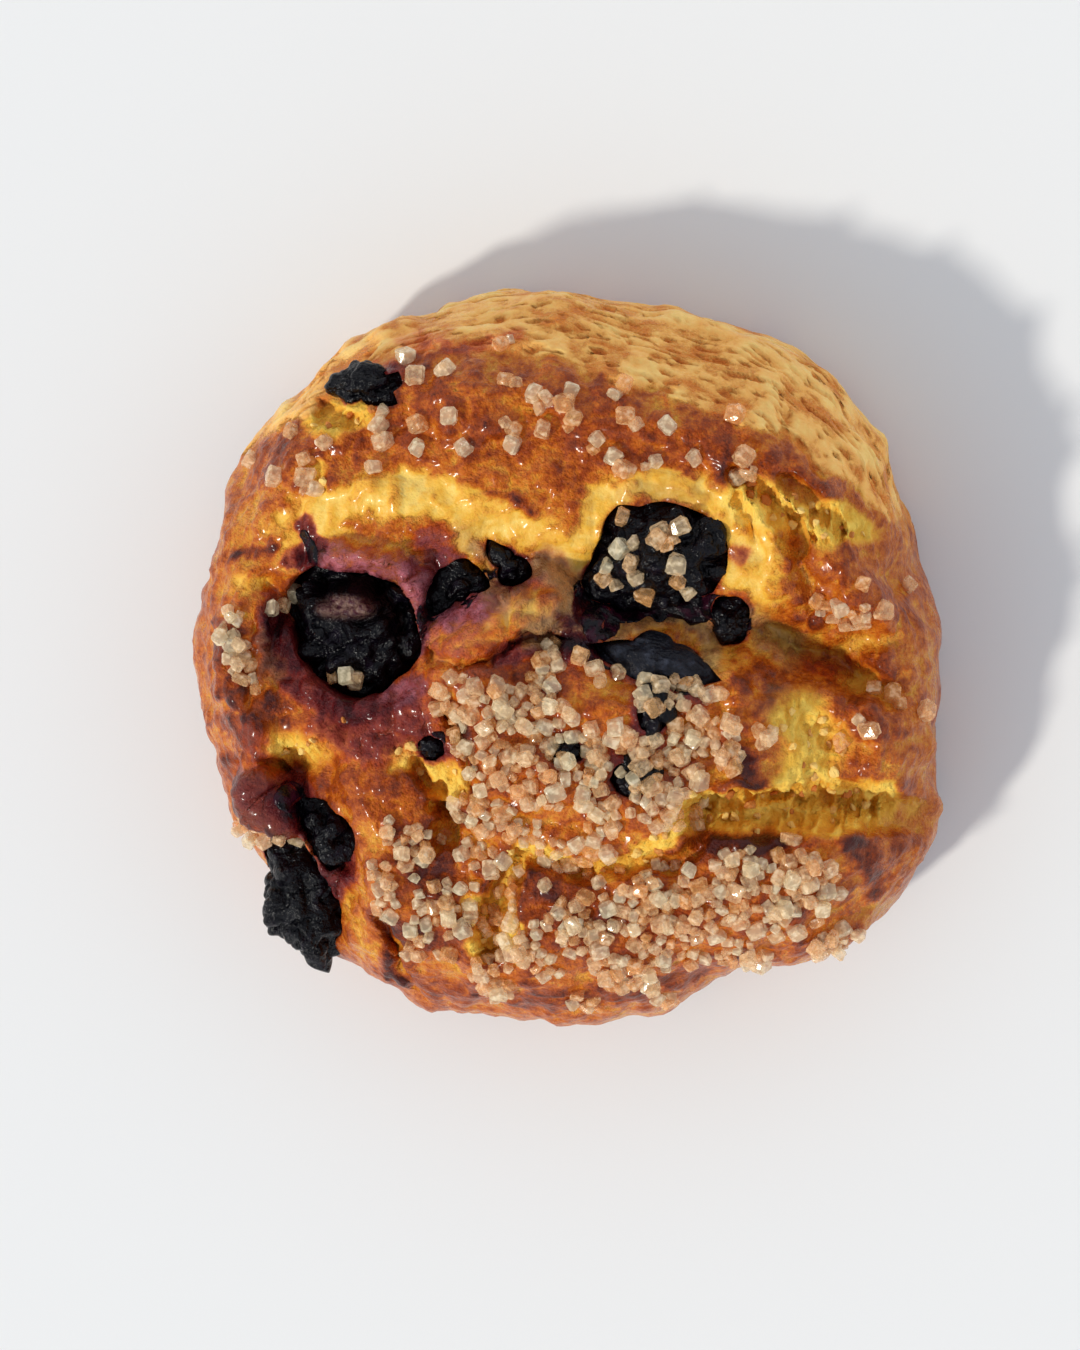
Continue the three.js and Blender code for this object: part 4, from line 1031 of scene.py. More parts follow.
def dough_paint(points, standing=0.0):
    """Baking tone, openness, juice and side for each point of the dough, with painted shade in the
    hollows of crumb and back and in a few creases.
    """
    x, y, z = points.T
    level = np.hypot(x, y) / outline_radius(np.arctan2(y, x))
    top = 1 - smooth(0.93, 1.0, level) * (1 - smooth(20, 24, z))
    wall = back_wall(x, y, z) * smooth(0.5, 2, z)
    torn = np.clip(painted_on(x, y, TORN), 0, 0.55) * top
    pale = np.clip(painted_on(x, y, PALE), 0, 0.5) * top
    brown = painted_on(x, y, BROWN) * top
    # Juice stain, with painted shade from the strokes that stand for shadow.
    stain = (1 - np.exp(-1.1 * painted_on(x, y, STAIN_AND_SHADE))) * top
    crumb = np.clip(torn * 2, 0, 1) * (1 - wall)
    crust_tone = 0.53 + 0.12 * layered(x, y, z, 3.2, 5, 2) - 0.8 * pale - 0.85 * torn
    # Where a point stands out: browner crust, but on torn crumb painted shade in its hollows and paler
    # crests.
    crust_tone = crust_tone + brown * (1 - pale) + (0.2 - 0.4 * crumb) * standing
    side_tone = 0.50 + 0.14 * layered(x, y, z, (9, 9, 6), 51, 2) + 0.2 * smooth(7, 1, z) + 0.1 * standing
    bake = crust_tone * top + side_tone * (1 - top)
    # On the back wall, painted shade in the hollows and paler crests where points stand out.
    wall_tone = 0.3 + 0.4 * layered(x, y, z, (5, 5, 3), 53, 3) + 0.25 * smooth(6, 1, z) - 0.24 * standing
    bake = bake * (1 - wall) + wall_tone * wall
    underside = smooth(0.6, 0.05, z)
    bake = bake * (1 - underside) + 0.62 * underside
    rim = near_berry(points) + 0.9 * layered(x, y, z, 2.2, 44, 2)
    stain = np.maximum(stain * (1 - 0.4 * wall), 0.6 * (1 - smooth(-0.2, 1.0, rim)))
    drab = np.clip(painted_on(x, y, DRAB), 0, 1) * top
    blush = np.clip(painted_on(x, y, BLUSH), 0, 1) * top
    return {"bake": bake, "crumb": crumb, "stain": stain, "wall": wall, "blush": blush, "drab": drab}


def fine_relief(points):
    """How far the finest forms of crust, torn crumb and back wall stand out, in mm."""
    x, y, z = points.T
    values = dough_paint(points)
    crumb, wall = values["crumb"], values["wall"]
    bumps = 0.3 * layered(x, y, z, 1.8, 61, 3) + 0.35 * layered(x, y, z, 4.5, 69, 1)
    bumps = bumps + (0.8 - 0.5 * smooth(22, 13, z)) * (0.62 - ridged(x, y, z, 3.1, 85, 3))
    shreds = 1.5 * (ridged(x, y, z, (1.4, 2.6, 2.6), 63, 3) - 0.62)
    around = np.arctan2(y, x) * MEAN_RADIUS
    slope = z - 0.7 * np.hypot(x, y)
    swerve = slope + 0.8 * noise(x, y, z, 6, 68)
    pores = noise(around, swerve, 0, (2.7, 0.8, 1), 65)
    pores = pores + 0.5 * noise(around, slope, 0, (1.1, 0.5, 1), 67)
    layers = noise(around, swerve, 0, (9, 2.4, 1), 66)
    strands = 0.1 - 0.6 * smooth(0.25, 0.95, pores) + 0.25 * layers
    crust = (1 - crumb) * (1 - wall) * (1 - 0.5 * smooth(14, 8, z))
    jam = 1.1 * np.abs(noise(x, y, z, 1.9, 87)) * smooth(0.25, 0.5, values["stain"])
    return (crust * bumps + jam + crumb * shreds + wall * (strands + 0.5 * bumps)) * smooth(0.2, 1.5, z)


def standing_out(mesh, rounds=12):
    """How far each point stands out of its surroundings, in units of about 0.3 mm."""
    points, count = points_of(mesh), len(mesh.vertices)
    ends = np.empty(len(mesh.edges) * 2, np.int32)
    mesh.edges.foreach_get("vertices", ends)
    a, b = ends.reshape(-1, 2).T
    neighbours = np.bincount(a, minlength=count) + np.bincount(b, minlength=count)
    level = points.copy()
    for _ in range(rounds):
        total = [np.bincount(a, v[b], count) + np.bincount(b, v[a], count) for v in level.T]
        level = (level + np.stack(total, -1) / neighbours[:, None]) / 2
    return np.clip(((points - level) * normals_of(mesh)).sum(1) / 0.3, -1, 1)


def build_dough(detail):
    """The loaf of dough, with the sockets of the berries cut out of it."""
    directions, faces = grid_ball(detail)
    around, down, inward = spread_over_skin(directions)
    points = skin(around, down)
    points[:, :2] *= inward[:, None]
    points[:, 2] *= inward == 1
    top = 1 - smooth(*DETAIL_FADE, down)
    points[:, 2] += top * details(points[:, 0], points[:, 1])
    dough = new_object("dough", points, faces)
    swell = fine_relief(points) + top * lumps(points[:, 0], points[:, 1])
    set_points(dough.data, points + normals_of(dough.data) * swell[:, None])
    sockets = new_object("sockets", *joined(socket_shape(berry) for berry in BERRIES))
    cut = dough.modifiers.new("sockets", "BOOLEAN")
    cut.operation = "DIFFERENCE"
    cut.solver = "MANIFOLD"
    cut.object = sockets
    leave_result(dough, cut)
    bpy.data.objects.remove(sockets)
    keep_largest(dough.data)
    return dough


def keep_largest(mesh):
    """Drops scraps that the sockets cut loose."""
    bm = bmesh.new()
    bm.from_mesh(mesh)
    seen, groups = set(), []
    for start in bm.verts:
        if start in seen:
            continue
        group, front = [], [start]
        seen.add(start)
        while front:
            vert = front.pop()
            group.append(vert)
            for edge in vert.link_edges:
                other = edge.other_vert(vert)
                if other not in seen:
                    seen.add(other)
                    front.append(other)
        groups.append(group)
    groups.sort(key=len)
    for group in groups[:-1]:
        bmesh.ops.delete(bm, geom=group, context="VERTS")
    bm.to_mesh(mesh)
    bm.free()


def joined(shapes):
    """Several closed shapes as one list of points and faces."""
    all_points, all_faces, start = [], [], 0
    for points, faces in shapes:
        all_points.append(points)
        all_faces += [[i + start for i in face] for face in faces]
        start += len(points)
    return np.concatenate(all_points), all_faces


# ------------------------------------------------------------------ berries
def turn_matrix(degrees):
    """A turn about the three axes as a matrix."""
    return np.array(Euler([radians(d) for d in degrees]).to_matrix())


def turned(points, degrees):
    """Points after a turn."""
    return points @ turn_matrix(degrees).T


def turned_back(points, degrees):
    """Points before a turn."""
    return points @ turn_matrix(degrees)


def berry_middle(berry):
    """Where a berry's middle lies."""
    x, y = berry[1]
    return np.array((x, y, float(skin_above(x, y)[0][2]) + berry[2]))


def berry_form(berry, directions, clearance=0.0):
    """The directions of a ball drawn out to a berry's dented form, before its turn."""
    name, (east, north), _, half, _, dent = berry
    x, y, z = (directions * 2.2).T
    dent = dent * (0.5 if name in OUTLINES else 1)
    stretch = 1 + dent * layered(x + east, y + north, z, 1, 31, 2) / max(half)
    grow = 1 + clearance * 1.35 / min(half)
    return directions * half * (stretch * grow)[:, None]


def outline_share(berry, x, y):
    """A berry's reach from its middle towards x, y, as a share of its plain oval's reach."""
    name, middle, _, half, turn, _ = berry
    if name not in OUTLINES:
        return 1 + 0 * x
    corners = np.array(OUTLINES[name]) - middle
    towards = np.arctan2(y, x)
    reach = np.interp(towards, np.arctan2(*corners.T[::-1]), np.hypot(*corners.T), period=2 * pi)
    along = towards - radians(turn[2])
    oval = 1 / np.hypot(np.cos(along) / half[0], np.sin(along) / half[1])
    return np.clip(reach / oval, 0.5, 1.6)


def in_place(berry, points):
    """A berry's points turned, drawn to its outline and moved to its place."""
    points = turned(points, berry[4])
    points[:, :2] *= outline_share(berry, *points[:, :2].T)[:, None]
    return points + berry_middle(berry)


def socket_shape(berry):
    """A berry's form, a little grown and drawn straight up out of the dough."""
    directions, faces = ico_ball(5)
    points = in_place(berry, berry_form(berry, directions, SOCKET_SLACK))
    facing_up = turned(directions / berry[3], berry[4])[:, 2] > 0
    points[facing_up, 2] += SOCKET_RISE
    return points, faces


# The trenches round the burst berry's middle lump, from the berry's own middle.
UPPER_TRENCH = ((-4.6, 5.8), (-2.7, 6.5), (0.5, 6.4), (2.9, 5.0), (4.6, 3.2), (4.8, 1.5))
LOWER_TRENCH = ((-4.8, 1.4), (-1.5, 1.9), (1.5, 1.6), (3.2, 2.8))


def burst_lumps(u, v):
    """Height and bareness of the burst berry's middle lump, and of the trenches round it."""
    lump = np.exp(-((((u + 1.4) / 4.0) ** 2 + ((v - 2.9) / 2.0) ** 2) ** 1.6))
    upper = distance_to_path(u, v, UPPER_TRENCH)
    lower = distance_to_path(u, v, LOWER_TRENCH)
    height = 1.5 * lump - 1.8 * np.exp(-((upper / 0.95) ** 2)) - 0.9 * np.exp(-((lower / 0.7) ** 2))
    body = 1.2 * layered(u, v, 0, 2.6, 91, 2) * smooth(1.5, 0, v)
    return height + body, smooth(0.35, 0.9, lump) * smooth(1.2, 3.2, v)


def build_berry(berry, wrinkles):
    """A cooked berry: its form, rounded lumps with sharp creases between, and its outline."""
    name, (east, north), _, half, _, _ = berry
    directions, faces = ico_ball(6 if max(half) > 5 else 5)
    points = berry_form(berry, directions)
    x, y, z = points.T
    seed = 71 + int(abs(east) * 7 + abs(north))
    along = STREAKED.get(name, 1.0)
    coarse = np.abs(noise(x, y, z, (3.2 * along, 2.6, 3.2), seed))
    small = np.abs(noise(x, y, z, (1.3 * along, 1.1, 1.3), seed + 5))
    depth = wrinkles * min(1, min(half) / 2.5)
    points = points - directions * (depth * (0.8 - 2.2 * coarse - 0.9 * small))[:, None]
    points = in_place(berry, points)
    bare = np.zeros(len(points))
    if name == "berry_burst":
        u, v, w = (points - berry_middle(berry)).T
        height, bare = burst_lumps(u, v)
        points[:, 2] += smooth(0, 1.5, w) * height
        bare = bare * smooth(0, 1.5, w)
    obj = new_object(name + "_skin", points, faces)
    paint(obj.data, "flesh", bare)
    shade_smooth(obj)
    return obj


# ------------------------------------------------------------------ what lies on the scone
ABOVE_ALL = 90.0  # a height in mm from which the ground is looked for
# Grains tried on each square mm where a field is full.
SUGAR_TRIES = 6.0
HEAP_TRIES = 0.4
CRUMB_TRIES = 0.55
PAIRED = 0.45  # share of the lone crystals that have a smaller one beside them
HEAP_REACH = 1.2  # how near in mm two crystals lie that carry a third
STEEPEST = 0.3  # the upward part of the normal on the steepest ground that holds a grain


class Ground:
    """The finished surface from above, for whatever lies on it."""

    def __init__(self, *names):
        meshes = [bpy.data.objects[name].data for name in names]
        points, faces = joined((points_of(m), [list(p.vertices) for p in m.polygons]) for m in meshes)
        self.tree = BVHTree.FromPolygons(points.tolist(), faces)

    def level(self, x, y):
        """Height above a place on the plan, or None beyond the edge."""
        spot = self.tree.ray_cast(Vector((x, y, ABOVE_ALL)), Vector((0, 0, -1)))[0]
        return None if spot is None else spot.z

    def stand(self, x, y, reach):
        """The place where a grain of some reach would stand, and the slope's normal there."""
        steps = ((0, 0), (reach, 0), (-reach, 0), (0, reach), (0, -reach))
        levels = [self.level(x + u, y + v) for u, v in steps]
        if None in levels:
            return None
        _, east, west, north, south = levels
        normal = np.array(((west - east) / (2 * reach), (south - north) / (2 * reach), 1.0))
        return np.array((x, y, sum(levels) / 5)), normal / np.linalg.norm(normal)


class Scatter:
    """Grains that keep their distance from each other."""

    def __init__(self, ground, seed):
        self.ground = ground
        self.rng = np.random.default_rng(seed)
        self.spots = np.empty((0, 3))
        self.rows = []

    def put(self, x, y, size, lift, lean, crowd, flat=0.68):
        """Lays a grain on the ground unless others are too near for its size.

        Shares of its size: lift is how high it sits, crowd is how near others come, and flat is how
        low it is at least. It leans by about lean, in radians.
        """
        away = np.hypot(self.spots[:, 0] - x, self.spots[:, 1] - y)
        if np.any(away < crowd * (self.spots[:, 2] + size) / 2):
            return
        stand = self.ground.stand(x, y, size * 0.3)
        if stand is None or stand[1][2] < STEEPEST:
            return
        rng = self.rng
        shape = size * np.array((1, rng.uniform(0.78, 1.0), rng.uniform(flat, 0.95)))
        at = stand[0] + stand[1] * (size * lift)
        self.spots = np.vstack((self.spots, (x, y, size)))
        self.rows.append((at, shape * MM, upright(stand[1], rng, lean), rng.random()))

    def places(self, fields, per_mm2):
        """Random places in the fields, as many as their fullness asks."""
        rng = self.rng
        for _, half, share, path in fields:
            path = np.array(path, float)
            legs = np.linalg.norm(np.diff(path, axis=0), axis=1)
            area = 2 * half * legs.sum() + pi * half * half
            for _ in range(int(area * per_mm2 * share)):
                leg = rng.choice(len(legs), p=legs / legs.sum())
                middle = path[leg] + (path[leg + 1] - path[leg]) * rng.random()
                swing, turn = half * np.sqrt(rng.random()), rng.random() * 2 * pi
                yield middle + swing * np.array((cos(turn), sin(turn)))


def upright(normal, rng, lean):
    """A turn that stands a grain on a slope, with a random lean and spin."""
    stand = Vector((0, 0, 1)).rotation_difference(Vector(normal))
    tip = Euler((rng.normal() * lean, rng.normal() * lean, rng.random() * 2 * pi)).to_quaternion()
    return (stand @ tip).to_euler()


# Waves of the unevenness in each metre, and how far it moves a crumb's points, in metres.
SUGAR_WAVINESS = 650.0
CRUMB_WAVINESS = 1400.0
CRUMB_UNEVENNESS = 0.0009


def grain_tree(name, material, grain):
    """A geometry tree that sets a grain on each point and makes every grain uneven."""
    group = bpy.data.node_groups.new(name, "GeometryNodeTree")
    sockets = group.interface
    sockets.new_socket("Geometry", in_out="INPUT", socket_type="NodeSocketGeometry")
    for label in ("Unevenness", "Waviness"):
        sockets.new_socket(label, in_out="INPUT", socket_type="NodeSocketFloat")
    sockets.new_socket("Geometry", in_out="OUTPUT", socket_type="NodeSocketGeometry")
    t = Tree(group.nodes, group.links)
    given = group.nodes.new("NodeGroupInput")
    points, unevenness, waviness = (Wire(t, given.outputs[i]) for i in range(3))
    stored = ("GeometryNodeInputNamedAttribute", {"data_type": "FLOAT_VECTOR"})
    turn = t.add("FunctionNodeEulerToRotation", {}, t.add(*stored, Name="turn"))
    each = {"Instance": grain(t), "Rotation": turn, "Scale": t.add(*stored, Name="size")}
    grains = t.add("GeometryNodeInstanceOnPoints", {}, Points=points, **each)
    real = t.add("GeometryNodeRealizeInstances", {}, grains)
    in_3d = {"noise_dimensions": "3D"}
    wave = t.add("ShaderNodeTexNoise", in_3d, Scale=waviness, Detail=1.0, output="Color")
    centred = t.add("ShaderNodeVectorMath", {"operation": "SUBTRACT"}, wave, (0.5, 0.5, 0.5))
    offset = t.add("ShaderNodeVectorMath", {"operation": "SCALE"}, centred, Scale=unevenness)
    moved = t.add("GeometryNodeSetPosition", {}, real, Offset=offset)
    flat = t.add("GeometryNodeSetShadeSmooth", {}, moved, Shade_Smooth=False)
    done = t.add("GeometryNodeSetMaterial", {}, flat, Material=material)
    group.links.new(done.socket, group.nodes.new("NodeGroupOutput").inputs[0])
    return group


CUT = 0.66  # share of a crystal's edge that its worn corners leave


def crystal(t):
    """A block with its edges and corners worn off, one unit across."""
    sizes = [(1, CUT, CUT), (CUT, 1, CUT), (CUT, CUT, 1)]
    blocks = [t.add("GeometryNodeMeshCube", {}, size) for size in sizes]
    join = t.nodes.new("GeometryNodeJoinGeometry")
    for block in blocks:
        t.links.new(block.socket, join.inputs[0])
    return t.add("GeometryNodeConvexHull", {}, Wire(t, join.outputs[0]))


def flake(t):
    """A low lump, one unit across."""
    return t.add("GeometryNodeMeshIcoSphere", {}, 0.5, 2)


def grain_points(name, rows):
    """Points that carry each grain's size, turn and tint."""
    places, sizes, turns, tints = zip(*rows)
    obj = new_object(name, np.array(places))
    for label, values in (("size", sizes), ("turn", turns)):
        layer = obj.data.attributes.new(label, "FLOAT_VECTOR", "POINT")
        layer.data.foreach_set("vector", np.array(values, np.float32).ravel())
    paint(obj.data, "tint", tints)
    return obj


def sugar_rows(smallest, largest, seed):
    """Where the crystals lie: alone, on berries, in the fields, and heaped where those are full."""
    berries = [berry[0] + "_skin" for berry in BERRIES]
    scatter = Scatter(Ground("dough", *berries), seed)
    span = largest - smallest
    rng = scatter.rng
    for x, y in LONE_SUGAR + STUCK_SUGAR:
        scatter.put(x, y, smallest + span * rng.uniform(0.4, 1.0), lift=0.2, lean=0.3, crowd=0.5)
    alone = list(scatter.spots)
    for x, y in scatter.places(SUGAR_FIELDS, SUGAR_TRIES):
        scatter.put(x, y, smallest + span * rng.random() ** 1.5, lift=0.16, lean=0.4, crowd=0.74)
    for x, y, size in alone:
        turn = rng.random() * 2 * pi
        reach = size * 0.7
        if rng.random() < PAIRED:
            x, y = x + reach * cos(turn), y + reach * sin(turn)
            scatter.put(x, y, size * 0.75, lift=0.1, lean=0.4, crowd=0.5)
    heap = Scatter(scatter.ground, seed + 1)
    full = [field for field in SUGAR_FIELDS if field[2] >= 0.9]
    for x, y in heap.places(full, HEAP_TRIES):
        near = np.hypot(scatter.spots[:, 0] - x, scatter.spots[:, 1] - y) < HEAP_REACH
        if near.sum() >= 2:
            size = smallest + span * 0.7 * heap.rng.random()
            heap.put(x, y, size, lift=0.75, lean=0.7, crowd=0.9)
    return scatter.rows + heap.rows


def crumb_rows(smallest, largest, seed):
    """Where crumbs and flakes cling: along the torn edges."""
    scatter = Scatter(Ground("dough"), seed)
    edges = [(name, half, 0.5, path) for name, half, _, path in TORN if len(path) > 1]
    for x, y in scatter.places(edges, CRUMB_TRIES):
        size = scatter.rng.uniform(smallest, largest)
        scatter.put(x, y, size, lift=0.05, lean=0.6, crowd=1.0, flat=0.4)
    return scatter.rows


# ------------------------------------------------------------------ juice
STATION_GAP = 0.3  # mm between the rings of points along a strand
SPOKES = 20  # points in each ring


def draped_skin(ground, half, thickness, path, seed):
    """A flat, ragged strand that lies along a path on the ground, as points and faces."""
    path = np.array(path, float)
    legs = np.linalg.norm(np.diff(path, axis=0), axis=1)
    along = np.append(0, np.cumsum(legs))
    count = max(12, int(along[-1] / STATION_GAP))
    stations = np.linspace(0, along[-1], count)
    middle = np.stack([np.interp(stations, along, path[:, i]) for i in (0, 1)], -1)
    for _ in range(count // 12 + 2):
        middle[1:-1] = (middle[:-2] + 2 * middle[1:-1] + middle[2:]) / 4
    tangent = np.gradient(middle, axis=0)
    tangent /= np.linalg.norm(tangent, axis=1, keepdims=True)
    across = np.stack((-tangent[:, 1], tangent[:, 0]), -1)
    share = np.linspace(-1, 1, count)
    taper = np.sqrt(1 - np.abs(share * 0.97) ** 3)
    points = []
    for p, side, width, s in zip(middle, across, taper, stations):
        ragged_half = half * width * (1 + 0.45 * float(noise(s, seed * 3.7, 0, (1.3, 1, 1), 82)))
        for spoke in range(SPOKES):
            turn = 2 * pi * spoke / SPOKES
            at = p + side * (ragged_half * cos(turn))
            level = ground.level(*at)
            lift = thickness * width * sin(turn) if sin(turn) > 0 else 0.7 * sin(turn)
            points.append((*at, (0 if level is None else level) - 0.1 + lift))
    points = np.array(points)
    x, y, _ = points.T
    points[:, 2] += 0.35 * thickness * layered(x, y, 0, 0.9, 83, 2)
    faces = []
    for ring in range(count - 1):
        for spoke in range(SPOKES):
            a, b = ring * SPOKES + spoke, ring * SPOKES + (spoke + 1) % SPOKES
            faces.append([a, a + SPOKES, b + SPOKES, b])
    faces.append(list(range(SPOKES)))
    faces.append([(count - 1) * SPOKES + spoke for spoke in reversed(range(SPOKES))])
    return points, faces


def outward(obj):
    """Turns all faces outwards."""
    bm = bmesh.new()
    bm.from_mesh(obj.data)
    bmesh.ops.recalc_face_normals(bm, faces=bm.faces[:])
    bm.to_mesh(obj.data)
    bm.free()


# ------------------------------------------------------------------ camera, light and floor
CAMERA_TILT = radians(8.0)  # from straight down
CAMERA_AZIMUTH = radians(41.0)
CAMERA_DISTANCE = 420.0
PIXELS_PER_MM = 8.5  # at the target, in a picture 1350 pixels high
PICTURE_HEIGHT = 1350
CAMERA_TARGET = np.array((-2.7, -1.05, 18.0))
SENSOR_WIDTH = 36
SUN_COLOUR = (1.0, 0.962, 0.88)
SKY_COLOUR = (0.94, 0.995, 1.1, 1.0)
OVERHEAD_EDGE = (0.7, 0.95)  # upward part of a direction from which the sky darkens
FLOOR_HALF = 2.0  # in metres


def add_camera():
    """A camera at the photograph's angle, a little off straight down."""
    level = sin(CAMERA_TILT)
    back = np.array((level * cos(CAMERA_AZIMUTH), level * sin(CAMERA_AZIMUTH), cos(CAMERA_TILT)))
    right = np.cross((0, 1, 0), back)
    right /= np.linalg.norm(right)
    up = np.cross(back, right)
    data = bpy.data.cameras.new("camera")
    data.sensor_width = SENSOR_WIDTH
    data.lens = SENSOR_WIDTH * PIXELS_PER_MM * CAMERA_DISTANCE / PICTURE_HEIGHT
    data.clip_start = 0.01
    camera = linked("camera", data)
    matrix = Matrix((right, up, back)).transposed().to_4x4()
    matrix.translation = Vector((CAMERA_TARGET + CENTRING + CAMERA_DISTANCE * back) * MM)
    camera.matrix_world = matrix
    bpy.context.scene.camera = camera


def add_sun(energy, elevation, azimuth, angle):
    """The main light, slightly warm."""
    data = bpy.data.lights.new("sun", "SUN")
    data.energy = energy
    data.angle = angle
    data.color = SUN_COLOUR
    sun = linked("sun", data)
    ray = Vector((cos(elevation) * cos(azimuth), cos(elevation) * sin(azimuth), -sin(elevation)))
    sun.rotation_mode = "QUATERNION"
    sun.rotation_quaternion = ray.to_track_quat("-Z", "Y")


def add_sky(strength, overhead):
    """Soft light from all sides, weaker straight overhead, as in a room lit by its windows."""
    world = bpy.data.worlds.new("sky")
    world.use_nodes = True
    t = Tree(world.node_tree.nodes, world.node_tree.links)
    direction = t.add("ShaderNodeTexCoord", {}, output="Generated")
    height = t.add("ShaderNodeSeparateXYZ", {}, direction, output="Z")
    even_curve = {"interpolation_type": "SMOOTHSTEP"}
    share = t.add("ShaderNodeMapRange", even_curve, height, *OVERHEAD_EDGE, 1.0, overhead)
    background = world.node_tree.nodes["Background"]
    background.inputs["Color"].default_value = SKY_COLOUR
    t.feed(background.inputs["Strength"], share * strength)
    bpy.context.scene.world = world


def add_floor():
    """A plain pale floor, 4 m across."""
    mesh = bpy.data.meshes.new("floor")
    corners = [(x * FLOOR_HALF, y * FLOOR_HALF, 0) for x, y in ((-1, -1), (1, -1), (1, 1), (-1, 1))]
    mesh.from_pydata(corners, [], [(0, 1, 2, 3)])
    floor = linked("floor", mesh)
    f = Finish("floor")
    f.surface(Base_Color=colour_of((232, 232, 230)), Roughness=0.8)
    floor.data.materials.append(f.material)


# ------------------------------------------------------------------ settings
class SconeDoughSettings(bpy.types.PropertyGroup):
    detail: IntProperty(
        name="Detail", description="Faces along each side of the dough's grid",
        default=120, min=20, max=126)
    gloss: FloatProperty(
        name="Glaze", description="How much the egg glaze of the crust shines",
        default=0.42, min=0, max=1, subtype="FACTOR")


class SconeSugarSettings(bpy.types.PropertyGroup):
    smallest: FloatProperty(
        name="Smallest", description="Edge of the smallest crystals, in mm",
        default=1.1, min=0.5, max=3)
    largest: FloatProperty(
        name="Largest", description="Edge of the largest crystals, in mm",
        default=2.3, min=0.5, max=4)
    unevenness: FloatProperty(
        name="Unevenness", description="How far the crystals' corners stray",
        default=0.0009, min=0, max=0.003, unit="LENGTH")
    seed: IntProperty(name="Seed", description="Which random scatter is used", default=7)


class SconeCrumbSettings(bpy.types.PropertyGroup):
    smallest: FloatProperty(
        name="Smallest", description="Size of the smallest crumbs, in mm",
        default=0.6, min=0.2, max=3)
    largest: FloatProperty(
        name="Largest", description="Size of the largest crumbs, in mm",
        default=1.5, min=0.2, max=4)
    seed: IntProperty(name="Seed", description="Which random scatter is used", default=11)


class SconeBerrySettings(bpy.types.PropertyGroup):
    wrinkles: FloatProperty(
        name="Wrinkles", description="Depth of the wrinkles in the berries' skins, in mm",
        default=1.0, min=0, max=2)


class SconeStageSettings(bpy.types.PropertyGroup):
    sun: FloatProperty(
        name="Sun", description="Strength of the main light",
        default=1.98, min=0, max=20)
    softness: FloatProperty(
        name="Softness", description="How wide the main light is",
        default=radians(5), min=0, max=1.5, unit="ROTATION")
    elevation: FloatProperty(
        name="Elevation", description="Height of the main light",
        default=radians(43), min=0, max=1.6, unit="ROTATION")
    azimuth: FloatProperty(
        name="Azimuth", description="Direction in which the light travels",
        default=radians(39), unit="ROTATION")
    sky: FloatProperty(
        name="Sky", description="Strength of the light from all sides",
        default=0.9, min=0, max=5)
    overhead: FloatProperty(
        name="Overhead", description="Share of it that comes from overhead",
        default=0.2, min=0, max=1, subtype="FACTOR")


# ------------------------------------------------------------------ operators
class SCONE_OT_dough(bpy.types.Operator):
    """Build the loaf of dough with its crust, splits and crumb"""

    bl_idname = "scone.dough"
    bl_label = "Dough"

    def execute(self, context):
        settings = context.scene.scone_dough
        dough = build_dough(settings.detail)
        standing = standing_out(dough.data)
        for name, values in dough_paint(points_of(dough.data), standing).items():
            paint(dough.data, name, values)
        dough.data.materials.clear()
        dough.data.materials.append(dough_finish(settings.gloss))
        shade_smooth(dough)
        place(dough, "crust", "scone")
        return {"FINISHED"}


class SCONE_OT_berries(bpy.types.Operator):
    """Build the cooked berries that show in the crust"""

    bl_idname = "scone.berries"
    bl_label = "Berries"

    def execute(self, context):
        black = berry_finish("berry skin", (4, 3, 7), (22, 15, 28), 0.19)
        slate = berry_finish("dull berry skin", (24, 25, 32), (66, 70, 82), 0.4)
        for berry in BERRIES:
            obj = build_berry(berry, context.scene.scone_berries.wrinkles)
            obj.data.materials.append(slate if berry[0] == "berry_flat" else black)
            place(obj, "fruit", berry[0])
        return {"FINISHED"}


class SCONE_OT_juice(bpy.types.Operator):
    """Lay skins of set juice round the berries"""

    bl_idname = "scone.juice"
    bl_label = "Juice"

    def execute(self, context):
        ground = Ground("dough")
        strands = [draped_skin(ground, *strand[1:], seed) for seed, strand in enumerate(JUICE)]
        skins = new_object("juice", *joined(strands))
        outward(skins)
        skins.data.materials.append(juice_finish())
        shade_smooth(skins)
        place(skins, "juice")
        return {"FINISHED"}


class SCONE_OT_sugar(bpy.types.Operator):
    """Scatter coarse sugar crystals over the crust"""

    bl_idname = "scone.sugar"
    bl_label = "Sugar"

    def execute(self, context):
        s = context.scene.scone_sugar
        obj = grain_points("sugar", sugar_rows(s.smallest, s.largest, s.seed))
        tree = grain_tree("sugar crystals", sugar_finish(), crystal)
        mesh_from_nodes(obj, tree, {"Unevenness": s.unevenness, "Waviness": SUGAR_WAVINESS})
        place(obj, "sugar", "scone")
        return {"FINISHED"}


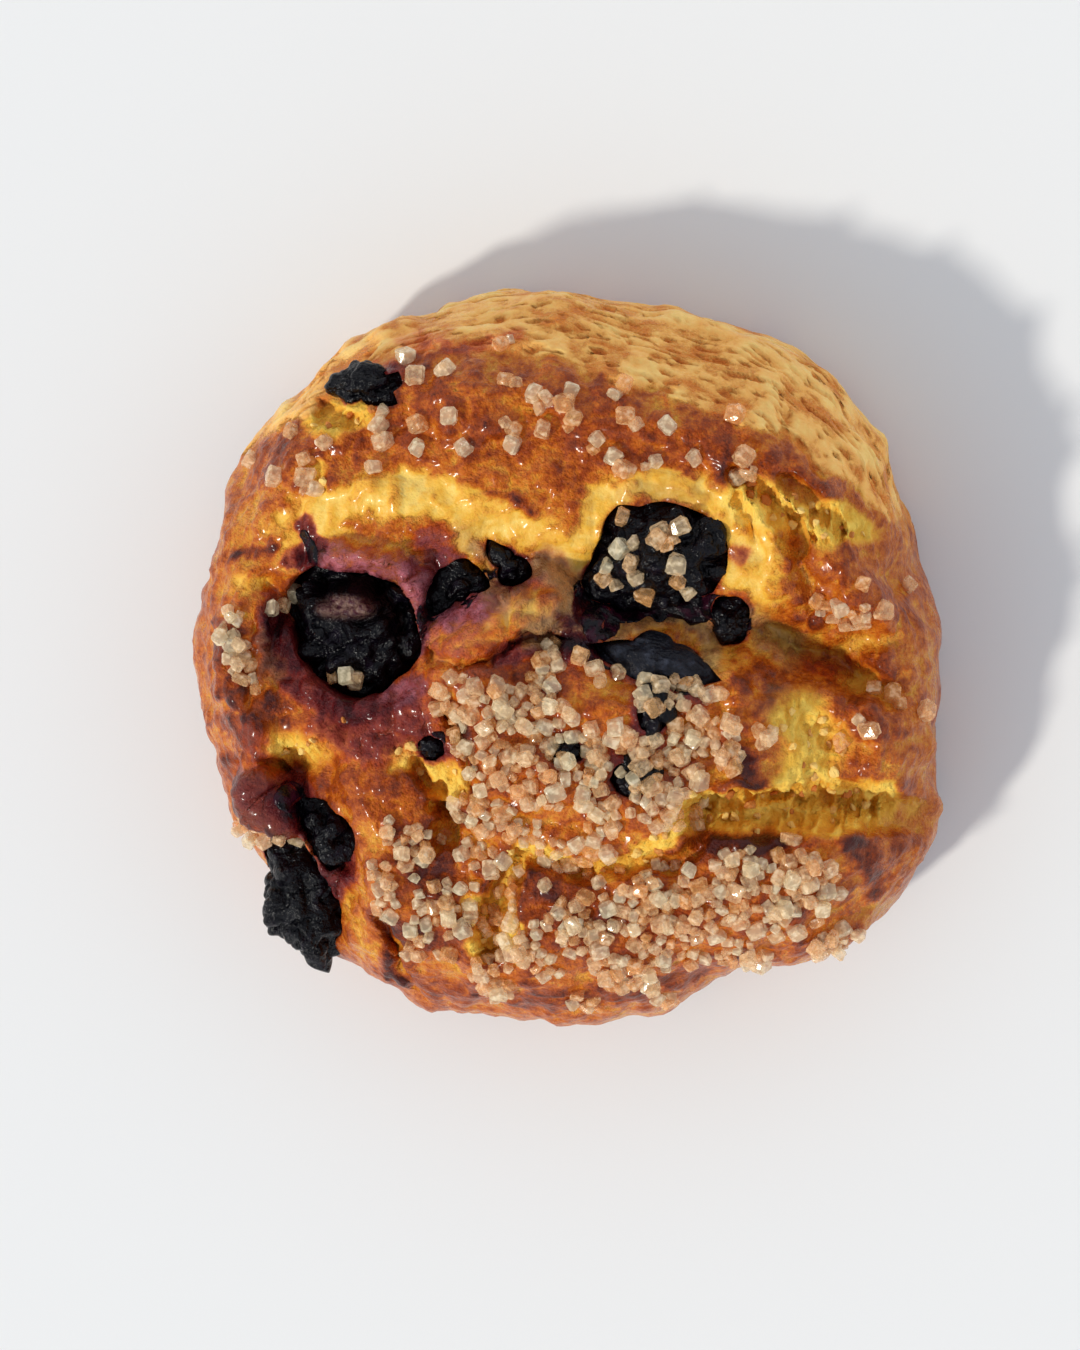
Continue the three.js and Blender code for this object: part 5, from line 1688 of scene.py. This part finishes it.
class SCONE_OT_crumbs(bpy.types.Operator):
    """Scatter crumbs and flakes along the torn edges"""

    bl_idname = "scone.crumbs"
    bl_label = "Crumbs"

    def execute(self, context):
        s = context.scene.scone_crumbs
        obj = grain_points("crumbs", crumb_rows(s.smallest, s.largest, s.seed))
        tree = grain_tree("crumbs and flakes", crumb_finish(), flake)
        mesh_from_nodes(obj, tree, {"Unevenness": CRUMB_UNEVENNESS, "Waviness": CRUMB_WAVINESS})
        place(obj, "crust")
        return {"FINISHED"}


class SCONE_OT_stage(bpy.types.Operator):
    """Set up the floor, the light and the camera"""

    bl_idname = "scone.stage"
    bl_label = "Stage"

    def execute(self, context):
        s = context.scene.scone_stage
        add_floor()
        add_sun(s.sun, s.elevation, s.azimuth, s.softness)
        add_sky(s.sky, s.overhead)
        add_camera()
        context.scene.view_settings.view_transform = "Standard"
        return {"FINISHED"}


class SCONE_PT_panel(bpy.types.Panel):
    """A button and the settings for each piece group"""

    bl_label = "Fruit scone"
    bl_space_type = "VIEW_3D"
    bl_region_type = "UI"
    bl_category = "Scone"

    def draw(self, context):
        for operator, settings in STEPS:
            box = self.layout.box()
            box.operator(operator)
            group = getattr(context.scene, settings, None)
            for name in getattr(group, "__annotations__", ()):
                box.prop(group, name)


STEPS = (
    ("scone.dough", "scone_dough"),
    ("scone.berries", "scone_berries"),
    ("scone.juice", ""),
    ("scone.sugar", "scone_sugar"),
    ("scone.crumbs", "scone_crumbs"),
    ("scone.stage", "scone_stage"),
)
SETTINGS = {
    "scone_dough": SconeDoughSettings,
    "scone_berries": SconeBerrySettings,
    "scone_sugar": SconeSugarSettings,
    "scone_crumbs": SconeCrumbSettings,
    "scone_stage": SconeStageSettings,
}
CLASSES = (
    *SETTINGS.values(),
    SCONE_OT_dough,
    SCONE_OT_berries,
    SCONE_OT_juice,
    SCONE_OT_sugar,
    SCONE_OT_crumbs,
    SCONE_OT_stage,
    SCONE_PT_panel,
)


def register():
    """Adds the classes and their settings to Blender."""
    for cls in CLASSES:
        bpy.utils.register_class(cls)
    for name, group in SETTINGS.items():
        setattr(bpy.types.Scene, name, PointerProperty(type=group))


def unregister():
    """Takes them out again."""
    for name in SETTINGS:
        delattr(bpy.types.Scene, name)
    for cls in reversed(CLASSES):
        bpy.utils.unregister_class(cls)


def main():
    """Registers the classes and builds every piece with its settings."""
    register()
    for operator, _ in STEPS:
        group, name = operator.split(".")
        getattr(getattr(bpy.ops, group), name)()


if __name__ == "__main__":
    main()
